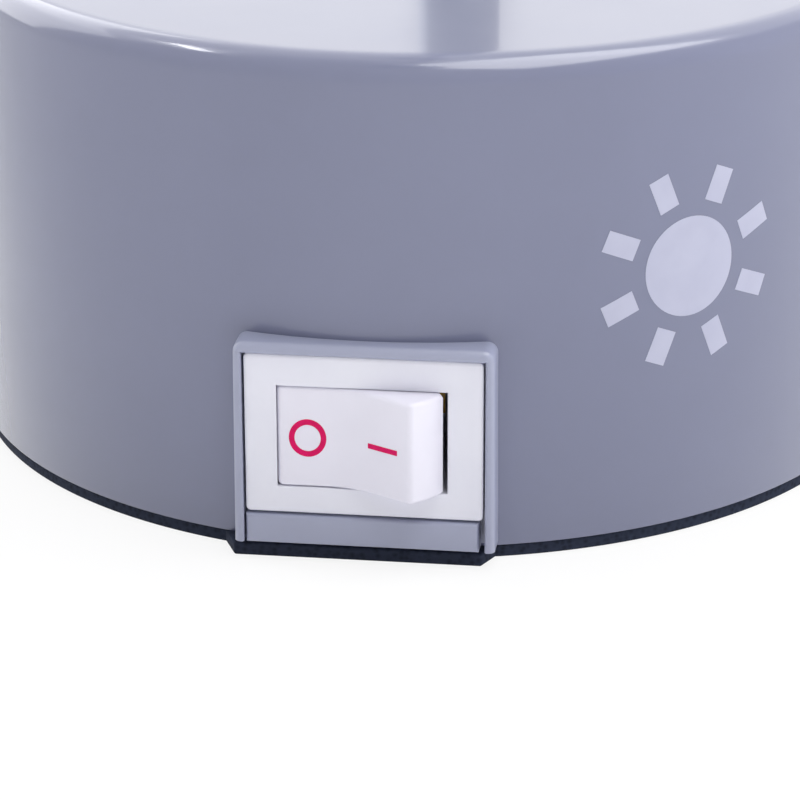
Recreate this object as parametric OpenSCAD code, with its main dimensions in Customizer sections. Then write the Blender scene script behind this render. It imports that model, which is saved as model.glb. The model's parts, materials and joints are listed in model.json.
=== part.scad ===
// Small jointed desk lamp on a round transformer base with a rocker switch.
// Millimetres, +Z up. The origin is the centre of the foot pad's underside,
// the switch faces -Y and the stem stands at the back, on +Y.

/* [Base housing] */
// Diameter of the round base
base_d = 89; // [88:0.5:110]
// Height of the grey housing above its foot pad
housing_h = 44.7; // [44:0.1:60]
// Thickness of the housing's side wall
wall_t = 2.2; // [1.8:0.1:2.8]
// Thickness of the housing's top wall
top_t = 2.6; // [2:0.1:3]
// Radius of the rounded top rim
rim_r = 2.4; // [1.2:0.1:4]
// Diameter of the four screw bosses
boss_d = 8; // [6.5:0.5:9]
// Angle of the bosses from the left-to-right axis, degrees
boss_angle = 30; // [24:1:40]

/* [Foot] */
// Thickness of the foam foot pad
pad_t = 1.2; // [0.8:0.1:3]
// How far the pad stays inside the housing's outline
pad_inset = 0.3; // [0:0.1:1]
// Thickness of the bottom plate
plate_t = 2; // [1.6:0.1:2.6]
// Core diameter of the plate's screws
screw_d = 3; // [2.5:0.1:3.5]

/* [Switch] */
// Width of the switch's flange
flange_w = 21; // [20.5:0.1:23]
// Height of the switch's flange
flange_h = 15; // [14.5:0.1:16]
// Thickness of the switch's flange
flange_t = 2; // [1.6:0.1:2.4]
// Height of the switch's centre above the housing's lower edge
switch_h = 10.9; // [10.5:0.1:14]
// Width of the switch's body behind the flange
body_w = 18.6; // [18.2:0.1:19]
// Height of the switch's body
body_h = 12.6; // [12.2:0.1:13]
// Depth of the switch's body behind the flange
body_depth = 12.6; // [12:0.1:14]
// Width of the rocker's window
window_w = 15.1; // [14:0.1:15.4]
// Height of the rocker's window
window_h = 9.6; // [8.5:0.1:9.8]
// Depth of the rocker's pivot behind the flange's front
pivot_depth = 3.5; // [3:0.1:4]
// Tilt of the rocker to each side of its middle position, degrees
rocker_tilt = 14.5; // [10:0.5:15]
// Thickness of the raised bezel round the flange
bezel_t = 0.95; // [0.8:0.05:1.6]
// How far the bezel stands out from the foremost line of the wall
bezel_proud = 1.6; // [1.2:0.1:2.4]

/* [Transformer] */
// Length of the laminated core
core_w = 48; // [44:1:50]
// Width of the laminated core
core_d = 40; // [36:1:41]
// Height of the lamination stack
core_h = 18; // [14:1:20]
// Height of the winding
coil_h = 33; // [28:1:34]

/* [Stem] */
// Outer diameter of the stem tube
stem_d = 8.5; // [7.5:0.1:9.5]
// Wall of the stem and arm tubes
tube_t = 0.8; // [0.6:0.1:1.2]
// Distance of the stem's axis inside the housing's outer face
stem_inset = 18.5; // [17:0.5:20]
// Height of the elbow's axis above the foot
elbow_z = 236; // [180:1:300]
// Travel of the stem to each side, degrees
swivel_max = 145; // [90:5:150]

/* [Arm] */
// Outer diameter of the arm tube
arm_d = 8; // [7:0.1:9]
// Distance from the elbow's axis to the head's axis
arm_l = 168; // [140:1:220]
// Rise of the arm towards the front at rest, degrees
arm_rise = 28; // [0:1:45]
// Radius of the joints' cheeks
cheek_r = 8.5; // [8:0.1:10]
// Thickness of each cheek
cheek_t = 3; // [2.4:0.1:4]
// Thickness of the tongue between two cheeks
tongue_t = 4; // [3:0.1:5]
// Diameter of the joints' bolts
bolt_d = 4; // [3:0.1:5]

/* [Head] */
// Outer radius of the shade's mouth
mouth_r = 31; // [29:0.5:36]
// Outer radius of the shade's neck
neck_r = 14; // [13:0.5:16]
// Length of the shade
shade_l = 58; // [54:1:70]
// Wall of the shade
shade_t = 1.2; // [0.8:0.1:1.6]
// Forward tip of the head at rest, degrees
head_tip = 12; // [0:1:30]
// Diameter of the lamp capsule
capsule_d = 9; // [8:0.5:10]

/* [Clearances] */
// Side gap between a loose-fitting part and its pocket
fit_gap = 0.2; // [0.15:0.05:0.3]
// Radial clearance of a turning fit
run_gap = 0.05; // [0.03:0.01:0.08]
// Gap between faces that slide or turn past one another
face_gap = 0.2; // [0.1:0.05:0.3]

/* [Hidden] */
$fn = 96;
eps = 0.01;
cut = 1;                                    // how far a cutter reaches past a face

// Base, from the foot upwards
base_r = base_d / 2;
stem_y = base_r - stem_inset;
inner_r = base_r - wall_t;
z_plate = pad_t + plate_t;                  // top face of the bottom plate
z_top = pad_t + housing_h;                  // flat top of the base
z_roof = z_top - top_t;                     // underside of the top wall
boss_pilot = screw_d - 0.4;
boss_screw_l = 10;                          // how far the plate's screws enter the bosses
boss_at = inner_r - boss_d / 2 - 1;
boss_angles = [boss_angle, 180 - boss_angle, 180 + boss_angle, 360 - boss_angle];

// Switch, from the bezel's front inwards
switch_z = pad_t + switch_h;
y_bezel = -(base_r + bezel_proud);
flange_recess = 0.3;
y_flange = y_bezel + flange_recess;
y_mount = y_flange + flange_t;              // face that the flange sits on
web_t = 2.4;
y_web = y_mount + web_t;
y_pivot = y_flange + pivot_depth;
x_pivot = -0.2;                             // the rocker sits a little left of and below the flange's centre
z_pivot = switch_z - 0.15;
y_floor = y_mount + body_depth;            // rear end of the switch's body
pocket_w = flange_w + 2 * fit_gap;
pocket_top = switch_z + flange_h / 2 + fit_gap;
bezel_w = pocket_w + 2 * bezel_t;
bezel_top = pocket_top + bezel_t;
bezel_corner = 0.9;
bezel_edge = 0.5;
bezel_draft = 0.12;                         // how far each side leans in towards the top
bezel_lift = 0.45;                          // of the bezel and sill above the pad
slot_w = body_w + 3 * fit_gap;
slot_bottom = switch_z - body_h / 2 - fit_gap;
catch_w = 0.55;                             // reach of the snap ramps
y_catch = max(y_web, -sqrt(pow(inner_r, 2) - pow(slot_w / 2 + catch_w, 2))) + 0.1;
cavity_r = norm([window_w / 2, pivot_depth]);
rocker_r = cavity_r - fit_gap - 0.05;
rocker_h = window_h - 2 * 0.12;
trunnion_r = 1.2;
trunnion_l = 0.9;
plunger_d = 3.2;
plunger_reach = 7.2;
lever_t = 0.5;
lever_w = 3.4;
lever_l = 12;
lever_tilt = 5;
y_lever = y_pivot + plunger_reach + lever_t + 0.15;  // the lever's own pivot
blade_w = 4.8;
blade_t = 0.8;
blade_clear = 3.8;                          // from the blades' ends to the core
blade_l = -core_d / 2 - blade_clear - y_floor;
side_blade_x = -5.6;

// Transformer
coil_gap = 0.6;
z_core = z_plate + (coil_h - core_h) / 2 + coil_gap;
leg_w = core_w / 3;                         // centre leg, twice an outer leg
window_l = core_d - leg_w;
core_bolt = [core_w / 2 - leg_w / 4, core_d / 2 - leg_w / 4];
bobbin_t = 0.9;
coil_w = core_w - leg_w - 1.2;

// Mains entry
gland_z = pad_t + 10;
gland_bore = 6;
gland_d = 8.8;
gland_seat = 0.7;                           // depth of the flat cut in the wall's outside
gland_catch = -(wall_t - gland_seat) - 0.35;
clamp_w = 20;
clamp_d = 5;
clamp_h = 4.6;
clamp_y = inner_r - 8.5;
clamp_screw_x = 6.9;
terminal_w = 9;
terminal_l = 13;
terminal_h = 11;
terminal_gap = 2;                           // from the core's side
terminal_x = -core_w / 2 - terminal_gap - terminal_w / 2;
terminal_pitch = 6.4;

// Stem socket
shank_d = stem_d + 3.5;
collar_d = shank_d + 5;
collar_h = 7;
roof_pad_t = 1.4;
washer_t = 1.2;
nut_t = 4;
ledge_h = 3;
z_seat = z_roof - roof_pad_t;
thread_end = 0.5;                           // shank left showing below the nut
z_shank = z_seat - washer_t - nut_t - thread_end - ledge_h;
stop_pin_d = 2;
stop_half = 180 - swivel_max - asin(stop_pin_d / stem_d) - 1;  // half the stop tab's angle
clip_t = 1;
clip_groove = 0.45;
z_clip = z_shank - face_gap - clip_t;
stem_tail = 1.9;
shoulder_h = 4.6;
z_shoulder = z_top + collar_h + face_gap;

// Knuckle joints of stem, arm and head
pad_ring_t = 0.6;                           // friction washer
slot_t = tongue_t + 2 * pad_ring_t + 2 * run_gap;
fork_w = slot_t + 2 * cheek_t;
knuckle_l = cheek_r + 5;                    // axis to the end of the tube
plug_l = 10;
knob_d = 20;
knob_h = 11;
head_y = stem_y - arm_l * cos(arm_rise);
head_z = elbow_z + arm_l * sin(arm_rise);

// Head, measured down its own axis from the pivot
head_neck = 6.5;                            // between the tongue's round and the shade's back
back_z = cheek_r + head_neck;
flange_plate_t = 2;
flange_plate_r = 11;
reflector_depth = 19;                       // of its throat below the shade's back
reflector_z = back_z + reflector_depth;
reflector_throat = 6.5;
reflector_lip = 2.4;
reflector_t = 0.7;
mouth_z = back_z + shade_l;
glass_t = 2;
glass_inset = 6;                            // of the glass inside the shade's mouth
glass_z = mouth_z - glass_inset;
ring_wire = 1.4;
holder_h = 12;
holder_d = 12;
holder_z = back_z + 6;
capsule_l = 19;
pin_pitch = 4;

// ---------- shared shapes ----------

// Profile of a drum with a rounded upper rim, for rotate_extrude
module drum_profile(r, h, edge) {
    square([r - edge, h]);
    square([r, h - edge]);
    translate([r - edge, h - edge]) circle(edge, $fn = 64);
}

module tube(od, id, h) {
    difference() {
        cylinder(d = od, h = h);
        translate([0, 0, -cut]) cylinder(d = id, h = h + 2 * cut);
    }
}

// Pan-head screw, head upwards, its seat at z = 0
module pan_screw(d, l, head_d, head_h) {
    difference() {
        union() {
            translate([0, 0, -l]) cylinder(d = d, h = l + eps, $fn = 32);
            cylinder(d1 = head_d, d2 = head_d * 0.72, h = head_h, $fn = 48);
        }
        for (a = [0, 90])
            rotate(a) translate([-head_d * 0.3, -0.3, head_h * 0.45]) cube([head_d * 0.6, 0.6, head_h]);
    }
}

module at_bosses() {
    for (a = boss_angles) rotate(a) translate([boss_at, 0, 0]) children();
}

module at_core_bolts() {
    for (sx = [-1, 1], sy = [-1, 1]) translate([sx * core_bolt[0], sy * core_bolt[1], 0]) children();
}

module at_clamp_screws() {
    for (s = [-1, 1]) translate([s * clamp_screw_x, clamp_y, 0]) children();
}

module at_stem() translate([0, stem_y, 0]) children();

// Frame of the arm: axis along -Y, the elbow at the origin
module at_elbow() translate([0, stem_y, elbow_z]) rotate([-arm_rise, 0, 0]) children();

module at_arm_end() at_elbow() translate([0, -arm_l, 0]) children();

// Frame of the head: axis along -Z, the pivot at the origin
module at_head() translate([0, head_y, head_z]) rotate([-head_tip, 0, 0]) children();

// Frames of the switch, +Y outwards, +X to the right seen from the front: its flange's centre, and the pivot
module at_switch() translate([0, y_pivot, switch_z]) mirror([0, 1, 0]) children();

module at_pivot(tilt = 0) translate([x_pivot, y_pivot, z_pivot]) mirror([0, 1, 0]) rotate(tilt) children();

// ---------- base shell ----------

// Bezel block with rounded upper corners and softened front edges
module bezel_block() {
    hull() {
        for (a = [0, 30, 60, 90]) {
            inset = bezel_edge * (1 - cos(a));
            translate([0, y_bezel + bezel_edge * (1 - sin(a)), 0]) rotate([-90, 0, 0]) linear_extrude(eps)
                mirror([0, 1]) bezel_outline(inset);
        }
        translate([0, y_web, 0]) rotate([90, 0, 0]) linear_extrude(eps) bezel_outline(0);
    }
}

module bezel_outline(inset) {
    for (s = [-1, 1])
        translate([s * (bezel_w / 2 - bezel_draft - bezel_corner), bezel_top - bezel_corner])
            circle(bezel_corner - inset, $fn = 32);
    translate([-bezel_w / 2 + inset, pad_t + bezel_lift]) square([bezel_w - 2 * inset, 1]);
}

module base_housing() color("#8487a0") difference() {
    union() {
        difference() {
            translate([0, 0, pad_t]) rotate_extrude($fn = 180) drum_profile(base_r, housing_h, rim_r);
            translate([0, 0, pad_t - cut]) rotate_extrude($fn = 180)
                drum_profile(inner_r, housing_h - top_t + cut, rim_r);
        }
        bezel_block();
        // screw bosses, each tied to the wall by a rib
        at_bosses() translate([0, 0, z_plate]) {
            cylinder(d = boss_d, h = z_roof - z_plate + eps);
            translate([0, -0.8, 4]) cube([inner_r - boss_at + 0.4, 1.6, z_roof - z_plate - 4 + eps]);
        }
        // pad round the stem's hole
        at_stem() translate([0, 0, z_seat]) cylinder(d = shank_d + 11, h = roof_pad_t + eps);
        // stiffening ribs under the top wall
        for (a = [0, 180]) rotate(a) translate([inner_r - 14, -0.8, z_roof - 3]) cube([14.4, 1.6, 3 + eps]);
    }
    // pocket of the flange, open at the bottom
    translate([-pocket_w / 2, y_bezel - cut, pad_t - cut])
        cube([pocket_w, y_mount - y_bezel + cut, pocket_top - pad_t + cut]);
    // slot of the switch's body, open at the bottom
    translate([-slot_w / 2, y_mount - cut, pad_t - cut])
        cube([slot_w, web_t + 2 * cut + wall_t, switch_z + body_h / 2 + fit_gap - pad_t + cut]);
    at_bosses() translate([0, 0, z_plate - cut]) cylinder(d = boss_pilot, h = boss_screw_l * 1.4 + cut, $fn = 32);
    at_stem() translate([0, 0, z_seat - cut]) cylinder(d = shank_d + 2 * fit_gap, h = top_t + roof_pad_t + 2 * cut);
    // hole and flat seat of the grommet
    translate([0, inner_r - cut, gland_z]) rotate([-90, 0, 0]) cylinder(d = gland_d + fit_gap, h = wall_t + 2 * cut);
    translate([0, base_r - gland_seat, gland_z]) rotate([-90, 0, 0]) cylinder(d = gland_d + 4.6, h = 2);
}

module pad_outline() {
    circle(base_r - pad_inset, $fn = 180);
    // tab under the bezel, with slanted corners, set a little to the left
    front = -y_bezel - 1.1;
    translate([-0.75, 0]) polygon([[-bezel_w / 2 - 1, -base_r + 3], [-bezel_w / 2 + 0.6, -front],
        [bezel_w / 2 - 0.6, -front], [bezel_w / 2 + 1, -base_r + 3]]);
}

module foot_pad() color("#23262c") difference() {
    linear_extrude(pad_t) pad_outline();
    at_bosses() translate([0, 0, -cut]) cylinder(d = screw_d * 2.6, h = pad_t + 2 * cut);
}

module base_plate() color("#2b2e34") difference() {
    union() {
        translate([0, 0, pad_t]) cylinder(r = inner_r - fit_gap, h = plate_t, $fn = 180);
        // pillars under the core
        at_core_bolts() translate([0, 0, z_plate - eps]) cylinder(d = 6.6, h = z_core - z_plate + eps);
        // saddle of the cord clamp
        translate([-clamp_w / 2, clamp_y - clamp_d / 2, z_plate - eps])
            cube([clamp_w, clamp_d, gland_z - z_plate + eps]);
        // rim that the terminal block sits in
        translate([terminal_x - terminal_w / 2 - 1.2, -4, z_plate - eps]) cube([1, 8, 3]);
    }
    translate([-bezel_w / 2 - fit_gap, -base_r - cut, pad_t - cut])
        cube([bezel_w + 2 * fit_gap, base_r + cut + y_web + fit_gap, plate_t + 2 * cut]);
    at_bosses() translate([0, 0, pad_t]) {
        translate([0, 0, -cut]) cylinder(d = screw_d + 0.4, h = plate_t + 2 * cut, $fn = 48);
        translate([0, 0, -eps]) cylinder(d1 = screw_d * 2.1, d2 = screw_d + 0.4, h = screw_d * 0.5, $fn = 48);
    }
    at_core_bolts() translate([0, 0, z_core - 6]) cylinder(d = 2.6, h = 6 + cut, $fn = 32);
    at_clamp_screws() translate([0, 0, gland_z - 6]) cylinder(d = 2.2, h = 6 + cut, $fn = 32);
    translate([0, clamp_y - clamp_d, gland_z]) rotate([-90, 0, 0]) cylinder(d = gland_bore - 0.4, h = 2 * clamp_d);
}

module plate_screws() color("#8d9096") at_bosses() translate([0, 0, pad_t]) {
    difference() {
        union() {
            cylinder(d1 = screw_d * 2.04, d2 = screw_d, h = screw_d * 0.48, $fn = 48);
            cylinder(d = screw_d, h = plate_t, $fn = 32);
        }
        for (a = [0, 90])
            rotate(a) translate([-screw_d * 0.6, -0.3, -eps]) cube([screw_d * 1.2, 0.6, 0.8]);
    }
    translate([0, 0, plate_t - eps]) cylinder(d = boss_pilot, h = boss_screw_l, $fn = 32);
}

// ---------- transformer ----------

module transformer_core() color("#4a4d55") translate([0, 0, z_core]) difference() {
    translate([-core_w / 2, -core_d / 2, 0]) cube([core_w, core_d, core_h]);
    for (s = [-1, 1]) translate([s * leg_w * 0.75 - leg_w / 4, -window_l / 2, -cut])
        cube([leg_w / 2, window_l, core_h + 2 * cut]);
    at_core_bolts() translate([0, 0, -cut]) cylinder(d = 3.4, h = core_h + 2 * cut, $fn = 48);
}

// One flange of the bobbin, its lower corner cut out for the centre leg
module bobbin_ring(w, h, y, t) translate([0, y, 0]) rotate([90, 0, 0]) translate([0, 0, -t / 2])
    linear_extrude(t) difference() {
        square([w, h], center = true);
        square([leg_w + 2 * fit_gap, core_h + 2 * fit_gap], center = true);
    }

module at_coil() translate([0, 0, z_core + core_h / 2]) children();

module transformer_bobbin() color("#d8d2c0") at_coil() {
    tube_w = leg_w + 2 * fit_gap + 2 * bobbin_t;
    tube_h = core_h + 2 * fit_gap + 2 * bobbin_t;
    bobbin_ring(tube_w, tube_h, 0, window_l - 2 * fit_gap);
    for (y = [-1, 0, 1]) bobbin_ring(coil_w, coil_h, y * (window_l / 2 - fit_gap - bobbin_t / 2), bobbin_t);
}

module winding(side, inset) at_coil() {
    length = (window_l - 2 * fit_gap - 3 * bobbin_t) / 2 - 0.1;
    translate([0, side * (bobbin_t / 2 + length / 2 + 0.05), 0]) rotate([90, 0, 0]) translate([0, 0, -length / 2])
        linear_extrude(length) difference() {
            square([coil_w - inset, coil_h - inset], center = true);
            square([leg_w + 2 * fit_gap + 2 * bobbin_t + 0.1, core_h + 2 * fit_gap + 2 * bobbin_t + 0.1], center = true);
        }
}

module primary_winding() color("#b9722f") winding(-1, 1.8);

module secondary_winding() color("#d9b43a") winding(1, 1.2);

module transformer_bolts() color("#a4a7ad") at_core_bolts() translate([0, 0, z_core + core_h])
    pan_screw(2.6, core_h + 5, 5.6, 2);

// ---------- mains entry ----------

module terminal_block() color("#e2e0d8") translate([terminal_x, 0, z_plate]) difference() {
    union() {
        translate([-terminal_w / 2, -terminal_l / 2, 0]) cube([terminal_w, terminal_l, terminal_h * 0.55]);
        for (s = [-1, 1]) translate([0, s * terminal_pitch / 2, 0]) {
            cylinder(d = 5.6, h = terminal_h);
            translate([-terminal_w / 2, 0, terminal_h * 0.42]) rotate([0, 90, 0]) cylinder(d = 5.4, h = terminal_w);
        }
    }
    for (s = [-1, 1]) translate([0, s * terminal_pitch / 2, 0]) {
        translate([-terminal_w, 0, terminal_h * 0.42]) rotate([0, 90, 0]) cylinder(d = 2.8, h = 2 * terminal_w, $fn = 32);
        translate([0, 0, terminal_h * 0.42]) cylinder(d = 3.2, h = terminal_h, $fn = 32);
    }
}

module terminal_screws() color("#c9a348") translate([terminal_x, 0, z_plate])
    for (s = [-1, 1]) translate([0, s * terminal_pitch / 2, terminal_h * 0.6]) difference() {
        cylinder(d = 3.1, h = terminal_h * 0.3, $fn = 32);
        translate([-2, -0.3, terminal_h * 0.3 - 0.7]) cube([4, 0.6, 1]);
    }

module cord_clamp() color("#2b2e34") difference() {
    translate([-clamp_w / 2, clamp_y - clamp_d / 2, gland_z]) cube([clamp_w, clamp_d, clamp_h]);
    translate([0, clamp_y - clamp_d, gland_z]) rotate([-90, 0, 0]) cylinder(d = gland_bore - 0.4, h = 2 * clamp_d);
    at_clamp_screws() translate([0, 0, gland_z - cut]) cylinder(d = 2.8, h = clamp_h + 2 * cut, $fn = 32);
}

module clamp_screws() color("#a4a7ad") at_clamp_screws() translate([0, 0, gland_z + clamp_h])
    pan_screw(2.2, clamp_h + 5, 4.8, 1.8);

module cord_grommet() color("#2a2c31") translate([0, base_r - gland_seat, gland_z]) rotate([-90, 0, 0]) rotate_extrude()
    polygon([[gland_bore / 2, gland_catch - 2], [gland_d / 2 + 0.2, gland_catch - 2],
        [gland_d / 2 + 0.8, gland_catch], [gland_d / 2, gland_catch], [gland_d / 2, 0],
        [gland_d / 2 + 1.8, 0], [gland_d / 2 + 1.8, 1.2], [gland_d / 2 + 1, 2], [gland_d / 2 - 0.1, 2.2],
        [gland_bore / 2 + 1, 9], [gland_bore / 2, 9]]);

// ---------- switch ----------

// Frame and body in one moulding, hollowed round the rocker's pivot
module switch_frame() color("#dddde8") difference() {
    at_switch() {
        // flange with a softened front edge
        hull() for (k = [0, 1]) translate([0, pivot_depth - flange_t, 0]) rotate([-90, 0, 0])
            linear_extrude(k == 0 ? flange_t - 0.7 : flange_t)
                rounded_rect(flange_w - 1.4 * k, flange_h - 1.4 * k, k == 0 ? 0.4 : 0.8);
        translate([-body_w / 2, pivot_depth - flange_t - body_depth, -body_h / 2])
            cube([body_w, body_depth + eps, body_h]);
        // snap ramps on the body's sides, behind the web
        for (s = [-1, 1]) scale([s, 1, 1])
            translate([body_w / 2 - eps, y_pivot - y_catch, -2]) linear_extrude(4)
                polygon([[0, 0], [catch_w, 0], [0, -4]]);
    }
    at_pivot() {
        cylinder(r = cavity_r, h = window_h, center = true);
        translate([-cavity_r + 0.6, pivot_depth - flange_t - body_depth + 1, -window_h / 2])
            cube([2 * cavity_r - 1.2, body_depth - 1, window_h]);
        cylinder(r = trunnion_r + run_gap, h = rocker_h + 2 * trunnion_l + 0.4, center = true, $fn = 48);
        for (x = [0, side_blade_x]) translate([x, -pivot_depth - body_depth, 0])
            cube([blade_t + 0.06, 2 * body_depth, blade_w + 0.06], center = true);
    }
}

module rounded_rect(w, h, r) {
    for (sx = [-1, 1], sy = [-1, 1]) translate([sx * (w / 2 - r), sy * (h / 2 - r)]) circle(r, $fn = 32);
    square([w, h - 2 * r], center = true);
    square([w - 2 * r, h], center = true);
}

// Two faces that meet in a shallow valley over the pivot, ends turned about the pivot
module switch_rocker() color("#e4e2ec") at_pivot(rocker_tilt) {
    valley = pivot_depth * cos(rocker_tilt) + pivot_depth * sin(rocker_tilt) * tan(rocker_tilt);
    corner_y = valley + rocker_r * 0.77 * tan(rocker_tilt);
    difference() {
        intersection() {
            cylinder(r = rocker_r, h = rocker_h, center = true);
            translate([0, 0, -rocker_h / 2]) linear_extrude(rocker_h)
                polygon([[-rocker_r, 0.4], [-rocker_r, corner_y + rocker_r * 0.23 * tan(rocker_tilt)], [0, valley],
                    [rocker_r, corner_y + rocker_r * 0.23 * tan(rocker_tilt)], [rocker_r, 0.4]]);
        }
        translate([0, -1, 0]) rotate([-90, 0, 0]) cylinder(d = plunger_d + 0.2, h = 2.6, $fn = 48);
    }
    // barrel of the plunger, and the trunnions
    difference() {
        union() {
            translate([0, -3.6, 0]) rotate([-90, 0, 0]) cylinder(d = 5.2, h = 4.2, $fn = 48);
            cylinder(r = 1.9, h = rocker_h, center = true, $fn = 48);
            cylinder(r = trunnion_r, h = rocker_h + 2 * trunnion_l, center = true, $fn = 48);
        }
        translate([0, -4, 0]) rotate([-90, 0, 0]) cylinder(d = plunger_d + 0.2, h = 5.6, $fn = 48);
    }
}

module rocker_plunger() color("#c9a348") at_pivot(rocker_tilt) {
    tip_r = plunger_d / 2 * 0.8;
    translate([0, -plunger_reach + tip_r, 0]) rotate([-90, 0, 0]) {
        sphere(tip_r, $fn = 32);
        cylinder(r = tip_r, h = 1.2, $fn = 32);
        translate([0, 0, 1.2 - eps]) cylinder(d = plunger_d, h = 2.2, $fn = 48);
    }
}

// Coil spring behind the plunger: a ring of points swept round the helix
module rocker_spring() color("#b9bcc2") at_pivot(rocker_tilt) {
    wire_r = 0.2;
    turns = 4;
    steps = 40;
    sides = 6;
    coil_r = plunger_d / 2 - 0.4;
    start = -plunger_reach + plunger_d * 0.4 + 3.4 + wire_r;
    length = 1.6 - 2 * wire_r - start;
    points = [for (i = [0:steps], k = [0:sides - 1])
        let (a = 360 * turns * i / steps, b = 360 * k / sides, r = coil_r + wire_r * cos(b))
            [r * cos(a), start + length * i / steps + wire_r * sin(b), r * sin(a)]];
    walls = [for (i = [0:steps - 1], k = [0:sides - 1])
        [i * sides + k, i * sides + (k + 1) % sides, (i + 1) * sides + (k + 1) % sides, (i + 1) * sides + k]];
    polyhedron(points, concat(walls, [[for (k = [sides - 1:-1:0]) k]],
        [[for (k = [0:sides - 1]) steps * sides + k]]), convexity = 8);
}

// Seesaw contact under the plunger
module contact_lever() color("#c9a348") translate([x_pivot, y_lever, z_pivot]) mirror([0, 1, 0]) rotate(-lever_tilt) {
    translate([-lever_l / 2, 0, -lever_w / 2]) cube([lever_l, lever_t, lever_w]);
    cylinder(r = 0.6, h = lever_w, center = true, $fn = 32);
}

// Blade terminals: the middle one carries the lever, the side one is its contact
module switch_terminals() color("#c9a348") at_pivot() for (x = [0, side_blade_x]) {
    inner_end = -(y_lever - y_pivot) - (x == 0 ? 0.65 : abs(x) * tan(lever_tilt) + 0.1);
    outer_end = y_pivot - y_floor - blade_l;
    translate([x - blade_t / 2, outer_end, -blade_w / 2]) difference() {
        cube([blade_t, inner_end - outer_end, blade_w]);
        translate([-cut, 2.4, blade_w / 2]) rotate([0, 90, 0]) cylinder(d = 1.6, h = blade_t + 2 * cut, $fn = 32);
    }
}

// Strip that closes the slot under the flange, with a tongue and a foot on the plate
module switch_sill() color("#9698ab") {
    front = y_bezel + 0.15;
    strip_top = switch_z - flange_h / 2 - 0.25;
    strip_w = pocket_w - 2 * 0.25;
    strip_bottom = pad_t + bezel_lift;
    // the strip sits nearer to the pocket's left side
    translate([-0.1, 0, 0]) difference() {
        translate([-strip_w / 2, front, strip_bottom]) cube([strip_w, y_mount - front, strip_top - strip_bottom]);
        // softened front edges
        for (z = [strip_bottom, strip_top])
            translate([0, front, z]) rotate([45, 0, 0]) cube([strip_w + cut, 0.45, 0.45], center = true);
    }
    translate([-slot_w / 2 + fit_gap, y_mount - eps, pad_t]) cube([slot_w - 2 * fit_gap, web_t, strip_top - pad_t]);
    translate([-slot_w / 2 + fit_gap, y_mount, pad_t])
        cube([slot_w - 2 * fit_gap, web_t, slot_bottom - fit_gap - pad_t]);
    translate([-slot_w / 2 + 2, y_web - eps - fit_gap, z_plate]) cube([slot_w - 4, 5, slot_bottom - fit_gap - z_plate]);
}

// ---------- stem socket ----------

module stem_socket() color("#a3a6ad") at_stem() difference() {
    union() {
        translate([0, 0, z_top]) cylinder(d = collar_d, h = 1.6);
        translate([0, 0, z_top + 1.6 - eps]) cylinder(d1 = collar_d - 1.6, d2 = shank_d + 0.6, h = collar_h - 1.6 + eps);
        translate([0, 0, z_shank]) cylinder(d = shank_d, h = z_top - z_shank + eps);
    }
    translate([0, 0, z_shank - cut]) cylinder(r = stem_d / 2 + run_gap, h = z_top - z_shank + collar_h + 2 * cut);
    // ledge cut away where the stop pin travels; the tab left at the back ends its travel
    translate([0, 0, z_shank - cut]) rotate(90 + stop_half) rotate_extrude(angle = 360 - 2 * stop_half)
        translate([stem_d / 2 - 1, 0]) square([shank_d / 2 - stem_d / 2 + 2, ledge_h + cut]);
}

module socket_washer() color("#8d9096") at_stem() translate([0, 0, z_seat - washer_t])
    tube(shank_d + 8, shank_d + 2 * fit_gap, washer_t);

module socket_nut() color("#a3a6ad") at_stem() translate([0, 0, z_seat - washer_t - nut_t]) difference() {
    intersection() {
        cylinder(d = (shank_d + 6) / cos(30), h = nut_t, $fn = 6);
        cylinder(d1 = (shank_d + 6) * 1.08, d2 = (shank_d + 6) * 1.14, h = nut_t);
    }
    translate([0, 0, -cut]) cylinder(d = shank_d + 0.06, h = nut_t + 2 * cut);
}

module stem_tube() color("#b4b7be") at_stem() difference() {
    bottom = z_clip - stem_tail;
    translate([0, 0, bottom]) cylinder(d = stem_d, h = elbow_z - knuckle_l - bottom);
    translate([0, 0, bottom - cut]) cylinder(d = stem_d - 2 * tube_t, h = elbow_z);
    // groove of the clip
    translate([0, 0, z_clip - 0.05]) tube(stem_d + 2, stem_d - 2 * clip_groove, clip_t + 0.1);
    translate([0, 0, z_shank + ledge_h / 2]) rotate([90, 0, 0]) cylinder(d = stop_pin_d, h = stem_d, $fn = 32);
}

module stem_shoulder() color("#a3a6ad") at_stem() translate([0, 0, z_shoulder]) difference() {
    rotate_extrude() {
        square([shank_d / 2, shoulder_h - 1]);
        square([shank_d / 2 - 1, shoulder_h]);
        translate([shank_d / 2 - 1, shoulder_h - 1]) circle(1, $fn = 32);
    }
    translate([0, 0, -cut]) cylinder(d = stem_d, h = shoulder_h + 2 * cut);
    // tapped hole of the grub screw
    translate([0, 0, shoulder_h / 2]) rotate([-90, 0, 0]) cylinder(d = 2, h = shank_d, $fn = 32);
}

module stop_pin() color("#8d9096") at_stem() translate([0, 0, z_shank + ledge_h / 2]) rotate([90, 0, 0])
    translate([0, 0, stem_d / 2 - tube_t - 0.6]) cylinder(d = stop_pin_d, h = tube_t + 0.5 + (shank_d - stem_d) / 2, $fn = 32);

module stem_clip() color("#6d7077") at_stem() translate([0, 0, z_clip]) difference() {
    tube(stem_d + 2.6, stem_d - 2 * clip_groove, clip_t);
    translate([-1.2, 0, -cut]) cube([2.4, stem_d, clip_t + 2 * cut]);
}

// ---------- knuckle joints ----------

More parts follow.
